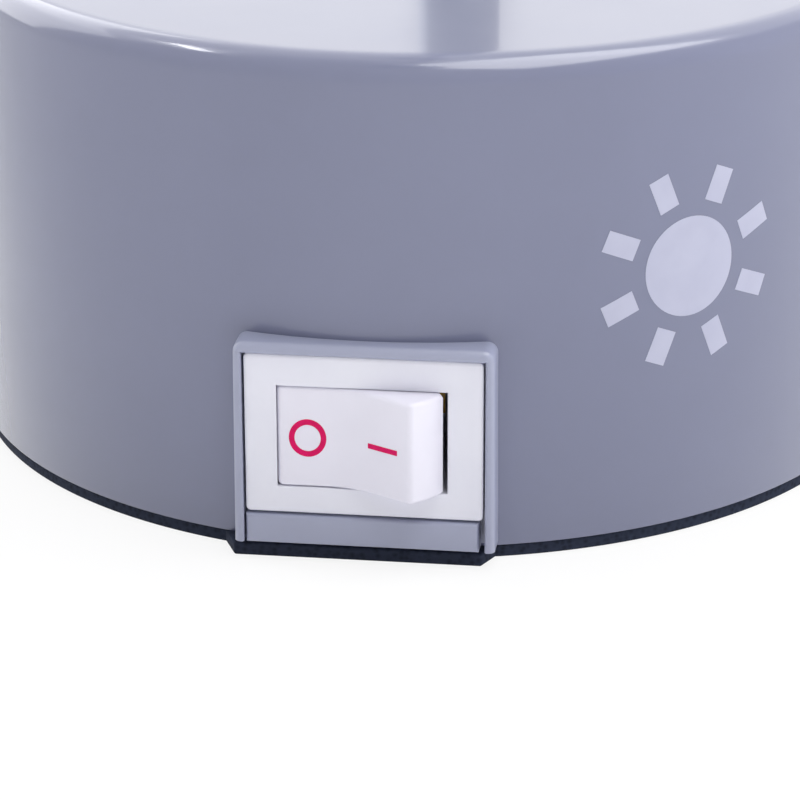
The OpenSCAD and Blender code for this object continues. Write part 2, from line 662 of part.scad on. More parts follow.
// Two cheeks across X round the axis, a neck along -Z and a plug that enters a tube
module fork(tube_d) {
    difference() {
        union() {
            for (s = [-1, 1]) translate([s * (slot_t + cheek_t) / 2, 0, 0]) rotate([0, 90, 0])
                cylinder(r = cheek_r, h = cheek_t, center = true);
            // yoke under the cheeks, narrowed to the tube
            difference() {
                hull() {
                    translate([-fork_w / 2, -tube_d / 2 + 0.2, -cheek_r + 1]) cube([fork_w, tube_d - 0.4, 1]);
                    translate([0, 0, -knuckle_l]) cylinder(d = tube_d + 1.6, h = 2, $fn = 32);
                }
                rotate([0, 90, 0]) cylinder(r = cheek_r + 0.8, h = slot_t, center = true);
            }
            translate([0, 0, -knuckle_l - plug_l]) cylinder(d = tube_d - 2 * tube_t, h = plug_l + 2);
        }
        rotate([0, 90, 0]) cylinder(r = bolt_d / 2 + run_gap, h = fork_w + 2 * cut, center = true, $fn = 48);
    }
}

// Tongue across X round the axis, a neck along +Z and a plug that enters a tube
module tongue_knuckle(tube_d) {
    difference() {
        union() {
            rotate([0, 90, 0]) cylinder(r = cheek_r, h = tongue_t, center = true);
            hull() {
                translate([-tongue_t / 2, -tube_d / 2 + 0.4, cheek_r - 3]) cube([tongue_t, tube_d - 0.8, 1]);
                translate([0, 0, cheek_r + 1.6]) cylinder(d = tongue_t, h = 0.5, $fn = 32);
            }
            translate([0, 0, cheek_r + 1]) cylinder(d1 = tongue_t, d2 = tube_d + 1.6, h = knuckle_l - cheek_r - 2);
            translate([0, 0, knuckle_l - 1 - eps]) cylinder(d = tube_d + 1.6, h = 1 + eps);
            translate([0, 0, knuckle_l - eps]) cylinder(d = tube_d - 2 * tube_t, h = plug_l);
        }
        rotate([0, 90, 0]) cylinder(r = bolt_d / 2 + run_gap, h = tongue_t + 2 * cut, center = true, $fn = 48);
    }
}

module friction_washers() for (s = [-1, 1]) translate([s * (slot_t - pad_ring_t) / 2, 0, 0]) rotate([0, 90, 0])
    translate([0, 0, -pad_ring_t / 2]) tube(2 * cheek_r - 1, bolt_d + 0.4, pad_ring_t);

module elbow_fork() color("#9a9da5") translate([0, stem_y, elbow_z]) fork(stem_d);

module elbow_bolt() color("#a4a7ad") translate([0, stem_y, elbow_z]) rotate([0, 90, 0]) {
    difference() {
        translate([0, 0, fork_w / 2]) cylinder(d1 = bolt_d * 2.3, d2 = bolt_d * 1.8, h = 2.6);
        translate([0, 0, fork_w / 2 + 1]) cylinder(d = bolt_d * 0.75 / cos(30), h = 3, $fn = 6);
    }
    translate([0, 0, -fork_w / 2 - knob_h + 2]) cylinder(d = bolt_d, h = fork_w + knob_h - 2 + eps, $fn = 48);
}

module elbow_washers() color("#e6e4dc") translate([0, stem_y, elbow_z]) friction_washers();

// Lobed clamping knob on the left, turned on the bolt's end
module elbow_knob() color("#2b2e34") translate([-fork_w / 2 - face_gap, stem_y, elbow_z]) rotate([0, -90, 0])
    difference() {
        union() {
            cylinder(d = knob_d * 0.55, h = 3);
            translate([0, 0, 3 - eps]) cylinder(d = knob_d, h = knob_h - 4.2);
            translate([0, 0, knob_h - 1.2 - 2 * eps]) cylinder(d1 = knob_d, d2 = knob_d - 2.4, h = 1.2);
        }
        for (k = [0:11]) rotate(30 * k) translate([knob_d / 2 + 0.9, 0, 3 - cut])
            cylinder(r = 1.8, h = knob_h + cut, $fn = 32);
        translate([0, 0, -cut]) cylinder(r = bolt_d / 2 + run_gap, h = knob_h - 2 - face_gap + cut, $fn = 48);
    }

module arm_knuckle() color("#9a9da5") at_elbow() rotate([90, 0, 0]) tongue_knuckle(arm_d);

module arm_tube() color("#b4b7be") at_elbow() translate([0, -knuckle_l, 0]) rotate([90, 0, 0])
    tube(arm_d, arm_d - 2 * tube_t, arm_l - 2 * knuckle_l);

module arm_fork() color("#9a9da5") at_arm_end() rotate([90, 0, 0]) fork(arm_d);

module head_bolt() color("#a4a7ad") at_arm_end() rotate([0, 90, 0]) {
    difference() {
        translate([0, 0, fork_w / 2]) cylinder(d1 = bolt_d * 2.3, d2 = bolt_d * 1.8, h = 2.6);
        translate([0, 0, fork_w / 2 + 1]) cylinder(d = bolt_d * 0.75 / cos(30), h = 3, $fn = 6);
    }
    translate([0, 0, -fork_w / 2 - 3]) cylinder(d = bolt_d, h = fork_w + 3 + eps, $fn = 48);
}

module head_nut() color("#a4a7ad") at_arm_end() translate([-fork_w / 2, 0, 0]) rotate([0, -90, 0]) difference() {
    union() {
        cylinder(d = bolt_d * 1.8 / cos(30), h = 3.2, $fn = 6);
        translate([0, 0, 3.2 - eps]) cylinder(d1 = bolt_d * 1.7, d2 = bolt_d * 0.9, h = 2);
    }
    translate([0, 0, -cut]) cylinder(d = bolt_d + 0.04, h = 3 + cut, $fn = 48);
}

module head_washers() color("#e6e4dc") at_arm_end() friction_washers();

// ---------- head ----------

// Outer radius of the shade at a depth below the pivot
function shade_r(z) = neck_r + (mouth_r - neck_r) * sin(90 * min(1, max(0, (z - back_z) / shade_l)));

module head_knuckle() color("#9a9da5") at_head() mirror([0, 0, 1]) {
    difference() {
        union() {
            rotate([0, 90, 0]) cylinder(r = cheek_r, h = tongue_t, center = true);
            translate([-tongue_t / 2, -cheek_r * 0.6, cheek_r - 3]) cube([tongue_t, cheek_r * 1.2, 4]);
            translate([0, 0, cheek_r + 0.8]) cylinder(d1 = cheek_r * 1.1, d2 = cheek_r * 1.5, h = back_z - cheek_r - 1.8);
            translate([0, 0, back_z - flange_plate_t - eps]) cylinder(r = flange_plate_r, h = flange_plate_t + eps);
        }
        rotate([0, 90, 0]) cylinder(r = bolt_d / 2 + run_gap, h = tongue_t + 2 * cut, center = true, $fn = 48);
        for (s = [-1, 1]) translate([s * (flange_plate_r - 3.2), 0, back_z - flange_plate_t - cut])
            cylinder(d = 2.2, h = flange_plate_t + 2 * cut, $fn = 32);
    }
}

module shade() color("#8487a0") at_head() mirror([0, 0, 1]) difference() {
    steps = 14;
    outer = [for (i = [0:steps]) let (z = back_z + shade_l * i / steps) [shade_r(z), z]];
    inner = [for (i = [steps:-1:0]) let (z = back_z + shade_l * i / steps)
        [shade_r(z) - shade_t, max(z, back_z + shade_t)]];
    union() {
        rotate_extrude() {
            polygon(concat([[0, back_z]], outer, inner, [[0, back_z + shade_t]]));
            translate([mouth_r - shade_t / 2, mouth_z]) circle(shade_t * 0.8, $fn = 32);
        }
    }
    // cooling slots round the neck
    for (k = [0:9]) rotate(36 * k + 18) translate([neck_r - 3, -1.1, back_z + 4]) cube([12, 2.2, 9]);
    for (s = [-1, 1]) translate([s * (flange_plate_r - 3.2), 0, back_z - cut])
        cylinder(d = 2.8, h = shade_t + 2 * cut, $fn = 32);
}

module shade_screws() color("#a4a7ad") at_head() for (s = [-1, 1])
    translate([s * (flange_plate_r - 3.2), 0, -back_z - shade_t]) mirror([0, 0, 1])
        pan_screw(2.2, shade_t + flange_plate_t - 0.3, 4.2, 1.4);

// Parabolic reflector, hung from its rim on the shade's wall
module reflector() color("#d9dade") at_head() mirror([0, 0, 1]) rotate_extrude() {
    steps = 12;
    rim = shade_r(glass_z - 1) - shade_t - 0.15;
    edge = glass_z - reflector_t - 0.1;
    depth = edge - reflector_z;
    bowl = [for (i = [0:steps]) let (t = i / steps)
        [reflector_throat + (rim - reflector_lip - reflector_throat) * sqrt(t), reflector_z + depth * t]];
    polygon(concat(bowl, [[rim, edge], [rim, edge + reflector_t], [rim - reflector_lip - 0.6, edge + reflector_t]],
        [for (i = [steps:-1:0]) bowl[i] + [-reflector_t - 0.05, reflector_t / 2]]));
}

module holder_bracket() color("#8d9096") at_head() mirror([0, 0, 1]) difference() {
    translate([0, 0, back_z + shade_t]) {
        cylinder(d = holder_d - 2, h = 1);
        translate([-2.5, -holder_d / 2 + 1, 0]) cube([5, holder_d - 2, holder_z - back_z - shade_t]);
    }
    translate([-cut - 2.5, -holder_d / 2 + 2.2, back_z + shade_t + 1]) cube([5 + 2 * cut, holder_d - 4.4, holder_z]);
}

module lamp_holder() color("#efece2") at_head() mirror([0, 0, 1]) difference() {
    translate([0, 0, holder_z]) {
        cylinder(d = holder_d, h = holder_h - 1);
        cylinder(d = holder_d - 2, h = holder_h);
    }
    for (s = [-1, 1]) translate([s * pin_pitch / 2, 0, holder_z + 4]) cylinder(d = 1, h = holder_h, $fn = 32);
}

module lamp_capsule() color("#cfe0ec") at_head() mirror([0, 0, 1]) translate([0, 0, holder_z + holder_h + 0.3]) difference() {
    union() {
        translate([-capsule_d / 2 + 0.6, -1.5, 0]) cube([capsule_d - 1.2, 3, 6]);
        translate([0, 0, 5]) cylinder(d = capsule_d, h = capsule_l - 5 - capsule_d / 2, $fn = 48);
        translate([0, 0, capsule_l - capsule_d / 2]) sphere(d = capsule_d, $fn = 48);
    }
    translate([0, 0, 6.4]) cylinder(d = capsule_d - 1.6, h = capsule_l - 6.4 - capsule_d / 2, $fn = 48);
    translate([0, 0, capsule_l - capsule_d / 2]) sphere(d = capsule_d - 1.6, $fn = 48);
}

module lamp_pins() color("#b9bcc2") at_head() mirror([0, 0, 1]) for (s = [-1, 1])
    translate([s * pin_pitch / 2, 0, holder_z + 4.3]) cylinder(d = 0.8, h = holder_h - 4.3 + 0.3, $fn = 24);

module front_glass() color("#dfe8ee") at_head() mirror([0, 0, 1]) translate([0, 0, glass_z])
    cylinder(r = shade_r(glass_z) - shade_t - 0.4, h = glass_t);

// Split wire ring that springs against the shade's wall
module glass_ring() color("#b9bcc2") at_head() mirror([0, 0, 1]) translate([0, 0, glass_z + glass_t + ring_wire / 2])
    rotate(8) rotate_extrude(angle = 344) translate([shade_r(glass_z + glass_t) - shade_t - ring_wire / 2 - 0.1, 0])
        circle(d = ring_wire, $fn = 24);

base_housing();
base_plate();
foot_pad();
plate_screws();
transformer_core();
transformer_bobbin();
primary_winding();
secondary_winding();
transformer_bolts();
terminal_block();
terminal_screws();
cord_clamp();
clamp_screws();
cord_grommet();
switch_frame();
switch_rocker();
rocker_plunger();
rocker_spring();
contact_lever();
switch_terminals();
switch_sill();
stem_socket();
socket_washer();
socket_nut();
stem_tube();
stem_shoulder();
stop_pin();
stem_clip();
elbow_fork();
elbow_bolt();
elbow_washers();
elbow_knob();
arm_knuckle();
arm_tube();
arm_fork();
head_bolt();
head_nut();
head_washers();
head_knuckle();
shade();
shade_screws();
reflector();
lamp_holder();
holder_bracket();
lamp_capsule();
lamp_pins();
front_glass();
glass_ring();
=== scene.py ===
import json
import math

import bmesh
import bpy
from mathutils import Matrix, Vector


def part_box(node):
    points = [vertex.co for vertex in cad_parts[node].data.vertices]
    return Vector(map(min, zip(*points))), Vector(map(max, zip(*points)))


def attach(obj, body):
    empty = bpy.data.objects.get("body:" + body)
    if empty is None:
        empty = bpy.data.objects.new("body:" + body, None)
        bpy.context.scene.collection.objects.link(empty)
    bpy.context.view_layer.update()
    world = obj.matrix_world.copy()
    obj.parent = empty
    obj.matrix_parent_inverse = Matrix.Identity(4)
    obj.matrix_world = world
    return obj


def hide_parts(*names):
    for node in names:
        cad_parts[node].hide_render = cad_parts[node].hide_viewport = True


print("loading the frame")
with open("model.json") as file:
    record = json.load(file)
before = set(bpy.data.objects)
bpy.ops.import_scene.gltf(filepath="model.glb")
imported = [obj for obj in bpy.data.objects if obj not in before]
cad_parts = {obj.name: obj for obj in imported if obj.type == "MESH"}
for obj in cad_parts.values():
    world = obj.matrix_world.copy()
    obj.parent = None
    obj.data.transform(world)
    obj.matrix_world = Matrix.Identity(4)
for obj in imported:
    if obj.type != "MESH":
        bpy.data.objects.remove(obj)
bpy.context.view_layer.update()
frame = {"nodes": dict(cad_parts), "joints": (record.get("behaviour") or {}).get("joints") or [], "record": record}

mm = 0.001    # pieces are modelled in millimetres and scaled once, when they are finished
close = 0.01  # an edge or a corner this near to a face counts as lying on it
scene = bpy.context.scene


def nodeBox(node):
    # a CAD node's lowest and highest corner at rest, in millimetres
    return [[round(c / mm, 3) for c in corner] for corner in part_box(node)]


def jointPlace(name):
    # the point that a joint turns about, in millimetres
    joint = next(row for row in frame["joints"] if row["name"] == name)
    return [round(c / mm, 3) for c in joint["pos_m"]]


cameraSetup = {
    "place": (39.94, -321.09, 124.41),
    "turn": 7.09,        # degrees that it stands to the right of the front
    "dip": 21.36,        # degrees that it looks down
    "lens": 154.84,
    "sensor": 36.0,
    "shift": -0.0354,    # sideways, as a share of the sensor
    "nearest": 0.01,     # metres
}

cameraData = bpy.data.cameras.new("studioCamera")
cameraData.lens = cameraSetup["lens"]
cameraData.sensor_width = cameraSetup["sensor"]
cameraData.shift_x = cameraSetup["shift"]
cameraData.clip_start = cameraSetup["nearest"]
camera = bpy.data.objects.new("studioCamera", cameraData)
camera.location = Vector(cameraSetup["place"]) * mm
camera.rotation_euler = (math.radians(90 - cameraSetup["dip"]), 0, math.radians(cameraSetup["turn"]))
scene.collection.objects.link(camera)
scene.camera = camera
scene.view_settings.view_transform = "Standard"


def linearColour(hexValue, alpha=1.0):
    # one sRGB hex value to the linear colour that the shaders take
    channels = [int(hexValue[i:i + 2], 16) / 255 for i in (1, 3, 5)]
    return [c / 12.92 if c <= 0.04045 else ((c + 0.055) / 1.055) ** 2.4 for c in channels] + [alpha]


def addNode(tree, kind, settings=None, links=None):
    node = tree.nodes.new(kind)
    for key, value in (settings or {}).items():
        if key == "ramp":
            ramp = node.color_ramp
            while len(ramp.elements) < len(value):
                ramp.elements.new(0.5)
            for element, (position, colour) in zip(ramp.elements, value):
                element.position, element.color = position, linearColour(colour)
        elif key in node.inputs:
            node.inputs[key].default_value = value
        else:
            setattr(node, key, value)
    for key, source in (links or {}).items():
        tree.links.new(source, node.inputs[key])
    return node


def newMaterial(name, settings):
    material = bpy.data.materials.new(name)
    material.use_nodes = True
    tree = material.node_tree
    tree.nodes.clear()
    shader = addNode(tree, "ShaderNodeBsdfPrincipled", settings)
    addNode(tree, "ShaderNodeOutputMaterial", None, {"Surface": shader.outputs["BSDF"]})
    return material, tree, shader


def plainlySeen(tree):
    # 1 where the camera, a reflection or clear glass looks at it, and 0 for the light that it gives
    rays = addNode(tree, "ShaderNodeLightPath")
    seen = addNode(tree, "ShaderNodeMath", {"operation": "MAXIMUM"},
                   {0: rays.outputs["Is Camera Ray"], 1: rays.outputs["Is Glossy Ray"]})
    seen = addNode(tree, "ShaderNodeMath", {"operation": "MAXIMUM"},
                   {0: seen.outputs[0], 1: rays.outputs["Is Transmission Ray"]})
    return seen.outputs[0]


studio = {
    "surround": 0.31,          # light that the white room gives
    "floorPaper": "#f6f6f7",
    "floorRadius": 6.0,        # metres
    "floorLift": (0.85, 1.0),  # how far the paper is kept at plain white, near the object and far from it
    "floorFar": (0.5, 1.8),    # metres over which the one becomes the other
    "plainFills": ("rightBack", "frontHigh", "lightTable"),  # these light the object and make no highlight
    # place in metres, size, what it is aimed at, power in watts
    "lamps": {
        "overheadSoftbox": ((0.33, -0.12, 1.0), (1.0, 0.6), (0.02, -0.04, 0.04), 8.0),
        "smallOverhead": ((-0.6, 0.02, 1.0), (0.3, 0.07), (0.0, -0.04, 0.04), 1.1),
        "ceiling": ((0.0, 0.95, 1.3), (3.0, 1.9), (0.0, 0.6, 0.0), 10.5),
        "backWall": ((0.0, 2.4, 0.75), (3.4, 1.3), (0.0, 0.0, 0.1), 6.6),
        "leftBack": ((-1.06, 0.74, 0.6), (1.5, 1.2), (0.0, 0.0, 0.03), 11.5),
        "rightBack": ((1.2, 0.2, 0.3), (0.9, 0.6), (0.0, 0.0, 0.03), 5.8),
        "frontHigh": ((0.1, -0.6, 1.15), (0.7, 0.5), (0.0, 0.0, 0.02), 2.0),
        "lightTable": ((0.12, -0.21, 0.003), (0.8, 0.26), (0.12, -0.21, 1.0), 0.35),
    },
}

print("setting up the studio")
world = bpy.data.worlds.new("whiteRoom")
scene.world = world
world.use_nodes = True
worldTree = world.node_tree
worldTree.nodes.clear()
strength = addNode(worldTree, "ShaderNodeMapRange", {"To Min": studio["surround"], "To Max": 1.0},
                   {"Value": plainlySeen(worldTree)})
room = addNode(worldTree, "ShaderNodeBackground", {"Color": (1, 1, 1, 1)},
               {"Strength": strength.outputs[0]})
addNode(worldTree, "ShaderNodeOutputWorld", None, {"Surface": room.outputs[0]})

for lampName, (place, size, aim, watts) in studio["lamps"].items():
    lampData = bpy.data.lights.new(lampName, "AREA")
    lampData.shape = "RECTANGLE"
    lampData.size, lampData.size_y = size
    lampData.energy = watts
    lampObject = bpy.data.objects.new(lampName, lampData)
    lampObject.location = place
    lampObject.rotation_euler = (Vector(aim) - Vector(place)).to_track_quat("-Z", "Y").to_euler()
    lampObject.visible_camera = False
    lampObject.visible_glossy = lampName not in studio["plainFills"]
    scene.collection.objects.link(lampObject)


def makeFloor(s):
    disc = bmesh.new()
    bmesh.ops.create_circle(disc, cap_ends=True, radius=s["floorRadius"], segments=64)
    mesh = bpy.data.meshes.new("paperFloor")
    disc.to_mesh(mesh)
    disc.free()
    paperFloor = bpy.data.objects.new("paperFloor", mesh)
    scene.collection.objects.link(paperFloor)
    paper, tree, shader = newMaterial("whiteBackgroundPaper", {"Roughness": 0.9, "Specular IOR Level": 0.2})
    shader.inputs["Base Color"].default_value = linearColour(s["floorPaper"])
    place = addNode(tree, "ShaderNodeTexCoord")
    away = addNode(tree, "ShaderNodeVectorMath", {"operation": "LENGTH"}, {0: place.outputs["Object"]})
    fade = addNode(tree, "ShaderNodeMapRange",
                   {"From Min": s["floorFar"][0], "From Max": s["floorFar"][1],
                    "To Min": s["floorLift"][0], "To Max": s["floorLift"][1]},
                   {"Value": away.outputs["Value"]})
    lift = addNode(tree, "ShaderNodeMath", {"operation": "MULTIPLY"},
                   {0: plainlySeen(tree), 1: fade.outputs[0]})
    plainWhite = addNode(tree, "ShaderNodeEmission", {"Color": (1, 1, 1, 1), "Strength": 1.0})
    mixed = addNode(tree, "ShaderNodeMixShader", None,
                    {0: lift.outputs[0], 1: shader.outputs[0], 2: plainWhite.outputs[0]})
    output = next(node for node in tree.nodes if node.type == "OUTPUT_MATERIAL")
    tree.links.new(mixed.outputs[0], output.inputs["Surface"])
    mesh.materials.append(paper)


makeFloor(studio)

print("mixing the materials")
finishes = {}  # one material for each of the record's slots, and a few more


def finish(slot, name, base, tints, grain=3.0, rough=(0.3, 0.4), roughGrain=6.0, relief=0.0, reliefGrain=0.5,
           stretch=(1, 1, 1), detail=3.0):
    # tints: two close colours; grain, roughGrain and reliefGrain are sizes in mm; relief is a height in mm
    material, tree, shader = newMaterial(name, base)
    place = addNode(tree, "ShaderNodeTexCoord")
    spread = addNode(tree, "ShaderNodeMapping", {"Scale": stretch}, {"Vector": place.outputs["Object"]})
    clouds = addNode(tree, "ShaderNodeTexNoise", {"Scale": 1000 / grain, "Detail": detail},
                     {"Vector": spread.outputs[0]})
    tint = addNode(tree, "ShaderNodeValToRGB", {"ramp": [(0.35, tints[0]), (0.65, tints[1])]},
                   {"Fac": clouds.outputs["Fac"]})
    tree.links.new(tint.outputs["Color"], shader.inputs["Base Color"])
    patches = addNode(tree, "ShaderNodeTexNoise", {"Scale": 1000 / roughGrain, "Detail": 2.0},
                      {"Vector": spread.outputs[0]})
    sheen = addNode(tree, "ShaderNodeMapRange",
                    {"From Min": 0.3, "From Max": 0.7, "To Min": rough[0], "To Max": rough[1]},
                    {"Value": patches.outputs["Fac"]})
    tree.links.new(sheen.outputs[0], shader.inputs["Roughness"])
    if relief:
        ripple = addNode(tree, "ShaderNodeTexNoise", {"Scale": 1000 / reliefGrain, "Detail": 2.0},
                         {"Vector": spread.outputs[0]})
        bump = addNode(tree, "ShaderNodeBump", {"Strength": 1.0, "Distance": relief * mm},
                       {"Height": ripple.outputs["Fac"]})
        tree.links.new(bump.outputs[0], shader.inputs["Normal"])
    finishes[slot] = material


# ABS moulded in a polished tool: clear reflections over a faint orange peel
finish("grey_abs", "glossyMouldedAbs", {"IOR": 1.52, "Coat Weight": 0.6, "Coat Roughness": 0.06},
       ("#737791", "#757993"), grain=14, rough=(0.2, 0.26), roughGrain=9, relief=0.0016, reliefGrain=1.6)
# the bezel and sill, from the tool's stoned edge faces, are the same plastic and more satin; their paler colour is
# painted sheen, for the whitish light their faces catch
finish("grey_abs_trim", "satinMouldedAbs", {"IOR": 1.52, "Coat Weight": 0.5, "Coat Roughness": 0.12},
       ("#999db4", "#9ca0b7"), grain=9, rough=(0.3, 0.38), roughGrain=5, relief=0.0016, reliefGrain=0.9)
# nearly the same colour in lacquer over spun aluminium, with faint level marks under it
finish("shade_lacquer", "glossLacquerOnSpunAluminium",
       {"IOR": 1.52, "Coat Weight": 0.6, "Coat Roughness": 0.05}, ("#71758f", "#757993"), grain=10,
       rough=(0.22, 0.3), roughGrain=5, relief=0.001, reliefGrain=0.9, stretch=(0.05, 0.05, 1))
finish("shade_inner", "bakedWhiteEnamel", {"IOR": 1.5}, ("#ecebe6", "#f1f0ec"), grain=8, rough=(0.35, 0.45),
       relief=0.002, reliefGrain=0.8)
# nylon with a fine spark-eroded texture
finish("switch_white", "semiGlossWhiteNylon", {"IOR": 1.53}, ("#e1e1ec", "#e4e4ee"), grain=6,
       rough=(0.34, 0.42), roughGrain=2, relief=0.0012, reliefGrain=0.35)
finish("rocker_white", "semiGlossWhiteNylonRocker", {"IOR": 1.53}, ("#e3e1ed", "#e6e4f0"), grain=5,
       rough=(0.3, 0.38), roughGrain=2, relief=0.0012, reliefGrain=0.3)
finish("ink_red", "padPrintedMagentaInk", {"IOR": 1.5, "Specular IOR Level": 0.15}, ("#ce0856", "#d90c60"),
       grain=0.6, rough=(0.45, 0.6), roughGrain=0.5)
finish("ink_pale", "padPrintedPaleInk", {"IOR": 1.5}, ("#b0b2c8", "#b5b7cc"), grain=3, rough=(0.3, 0.42),
       roughGrain=1.5)
finish("black_plastic", "blackPolypropylene", {"IOR": 1.49}, ("#1a1c20", "#222429"), grain=2,
       rough=(0.45, 0.6), relief=0.01, reliefGrain=0.4)
# phenolic: dark, slightly shiny, with a faint mould flow
finish("knob_plastic", "mouldedPhenolic", {"IOR": 1.6, "Coat Weight": 0.2, "Coat Roughness": 0.2},
       ("#17181b", "#202227"), grain=1.5, rough=(0.28, 0.4), relief=0.004, reliefGrain=0.5)
finish("grommet_pvc", "softBlackPvc", {"IOR": 1.53}, ("#1b1c1f", "#242529"), grain=1.5, rough=(0.5, 0.62),
       relief=0.006, reliefGrain=0.3)
# bright zinc plate over pressed steel: cloudy, half polished
finish("zinc_steel", "brightZincPlate", {"Metallic": 1.0}, ("#a9acb2", "#c3c5c8"), grain=0.8,
       rough=(0.28, 0.42), roughGrain=0.7, relief=0.002, reliefGrain=0.25)
# the tubes are brushed along their length
finish("satin_tube", "satinNickelTube", {"Metallic": 1.0}, ("#9ea0a6", "#a3a5aa"), grain=1.2,
       rough=(0.28, 0.32), roughGrain=2.5, relief=0.0002, reliefGrain=0.4, stretch=(1, 1, 0.06))
finish("satin_arm", "satinNickelArmTube", {"Metallic": 1.0}, ("#9ea0a6", "#a3a5aa"), grain=1.2,
       rough=(0.28, 0.32), roughGrain=2.5, relief=0.0002, reliefGrain=0.4, stretch=(1, 0.08, 0.5))
finish("satin_fitting", "satinNickelOnTurnedBrass", {"Metallic": 1.0}, ("#adafb4", "#b9bbbf"), grain=0.9,
       rough=(0.27, 0.36), roughGrain=1.4, relief=0.0016, reliefGrain=0.22)
finish("joint_bolt", "polishedSteelBolt", {"Metallic": 1.0}, ("#b9bbbf", "#c6c8ca"), grain=0.8,
       rough=(0.16, 0.26), roughGrain=0.8, relief=0.001, reliefGrain=0.2)
finish("spring_steel", "brightSpringWire", {"Metallic": 1.0}, ("#a7a9ad", "#babcc0"), grain=0.5,
       rough=(0.2, 0.3), roughGrain=0.5, relief=0.001, reliefGrain=0.15)
finish("pin_metal", "molybdenumPin", {"Metallic": 1.0}, ("#9a9ca1", "#adb0b4"), grain=0.4, rough=(0.3, 0.4),
       roughGrain=0.4, relief=0.001, reliefGrain=0.12)
finish("brass", "plainBrass", {"Metallic": 1.0}, ("#c29a4e", "#d0ab62"), grain=0.9, rough=(0.25, 0.38),
       roughGrain=0.6, relief=0.002, reliefGrain=0.2)
finish("washer_nylon", "naturalNylonWasher", {"IOR": 1.53}, ("#d9d7cd", "#e3e1d9"), grain=1.2,
       rough=(0.4, 0.5), relief=0.002, reliefGrain=0.25)
finish("bobbin_nylon", "glassFilledNylon", {"IOR": 1.53}, ("#cdc6b3", "#dad4c4"), grain=1.4,
       rough=(0.5, 0.62), relief=0.006, reliefGrain=0.3)
finish("terminal_nylon", "naturalNylonBlock", {"IOR": 1.53}, ("#dcdacf", "#e6e4db"), grain=1.6,
       rough=(0.4, 0.52), relief=0.003, reliefGrain=0.3)
# steatite fired without a glaze: chalky, with small dark specks
finish("ceramic", "firedSteatite", {"IOR": 1.6}, ("#dcd8ca", "#efece2"), grain=0.35, rough=(0.5, 0.65),
       relief=0.006, reliefGrain=0.2, detail=6.0)
finish("bright_reflector", "brightAnodisedReflector", {"Metallic": 1.0}, ("#dcdde0", "#e6e7e9"), grain=2,
       rough=(0.07, 0.13), roughGrain=2.5, relief=0.001, reliefGrain=0.4)
finish("tungsten", "drawnTungsten", {"Metallic": 1.0}, ("#6d6c6a", "#82807d"), grain=0.2, rough=(0.35, 0.5),
       roughGrain=0.2)

foamSheet = {"cell": 0.55, "dent": 0.06, "tints": ("#1b202e", "#2b3142")}


def foamFinish(f):
    # closed-cell foam sheet: its cut faces show open cells
    material, tree, shader = newMaterial("closedCellFoam",
                                         {"IOR": 1.45, "Specular IOR Level": 0.25, "Roughness": 0.85})
    place = addNode(tree, "ShaderNodeTexCoord")
    cells = addNode(tree, "ShaderNodeTexVoronoi", {"Scale": 1000 / f["cell"], "Randomness": 0.9},
                    {"Vector": place.outputs["Object"]})
    tint = addNode(tree, "ShaderNodeValToRGB", {"ramp": [(0.1, f["tints"][0]), (0.6, f["tints"][1])]},
                   {"Fac": cells.outputs["Distance"]})
    dents = addNode(tree, "ShaderNodeBump", {"Strength": 0.7, "Distance": f["dent"] * mm},
                    {"Height": cells.outputs["Distance"]})
    tree.links.new(tint.outputs["Color"], shader.inputs["Base Color"])
    tree.links.new(dents.outputs[0], shader.inputs["Normal"])
    finishes["foam"] = material


def banded(slot, name, base, tints, pitch, axis, relief):
    # lines of one pitch in mm across one axis, broken up by a little noise
    material, tree, shader = newMaterial(name, base)
    place = addNode(tree, "ShaderNodeTexCoord")
    lines = addNode(tree, "ShaderNodeTexWave",
                    {"bands_direction": axis, "Scale": 100 * math.pi / pitch, "Distortion": 0.4,
                     "Detail": 2.0, "Detail Scale": 2.0},
                    {"Vector": place.outputs["Object"]})
    tint = addNode(tree, "ShaderNodeValToRGB", {"ramp": [(0.1, tints[0]), (0.8, tints[1])]},
                   {"Fac": lines.outputs["Fac"]})
    bump = addNode(tree, "ShaderNodeBump", {"Strength": 0.8, "Distance": relief * mm},
                   {"Height": lines.outputs["Fac"]})
    tree.links.new(tint.outputs["Color"], shader.inputs["Base Color"])
    tree.links.new(bump.outputs[0], shader.inputs["Normal"])
    finishes[slot] = material


def clearGlass(slot, name, tint, rough):
    glass = {"IOR": 1.47, "Transmission Weight": 1.0, "Roughness": rough}
    material, tree, shader = newMaterial(name, glass)
    shader.inputs["Base Color"].default_value = linearColour(tint)
    place = addNode(tree, "ShaderNodeTexCoord")
    waves = addNode(tree, "ShaderNodeTexNoise", {"Scale": 1000 / 7.0, "Detail": 1.0},
                    {"Vector": place.outputs["Object"]})
    bump = addNode(tree, "ShaderNodeBump", {"Strength": 0.25, "Distance": 0.02 * mm},
                   {"Height": waves.outputs["Fac"]})
    tree.links.new(bump.outputs[0], shader.inputs["Normal"])
    finishes[slot] = material


foamFinish(foamSheet)
# half-millimetre laminations under varnish, and the two windings turn by turn
banded("laminated_steel", "varnishedLaminations", {"Metallic": 0.6, "Roughness": 0.42},
       ("#26282d", "#4a4d55"), 0.5, "Z", 0.08)
banded("primary_copper", "enamelledCopperWire", {"Metallic": 0.9, "Roughness": 0.3},
       ("#5e2f12", "#b56f35"), 0.4, "Y", 0.12)
banded("secondary_tape", "woundPolyesterTape", {"Roughness": 0.35, "IOR": 1.57},
       ("#c79c22", "#e0bd3e"), 1.1, "Y", 0.08)
clearGlass("capsule_glass", "drawnQuartz", "#f6fafc", 0.02)
clearGlass("front_glass", "hardenedFlatGlass", "#f4faf8", 0.03)

weld = {"made": 0.0005, "finished": 0.0004, "cad": 0.002}  # corners nearer than this become one


def placed(bm, matrix):
    bmesh.ops.transform(bm, matrix=matrix, verts=bm.verts)
    return bm


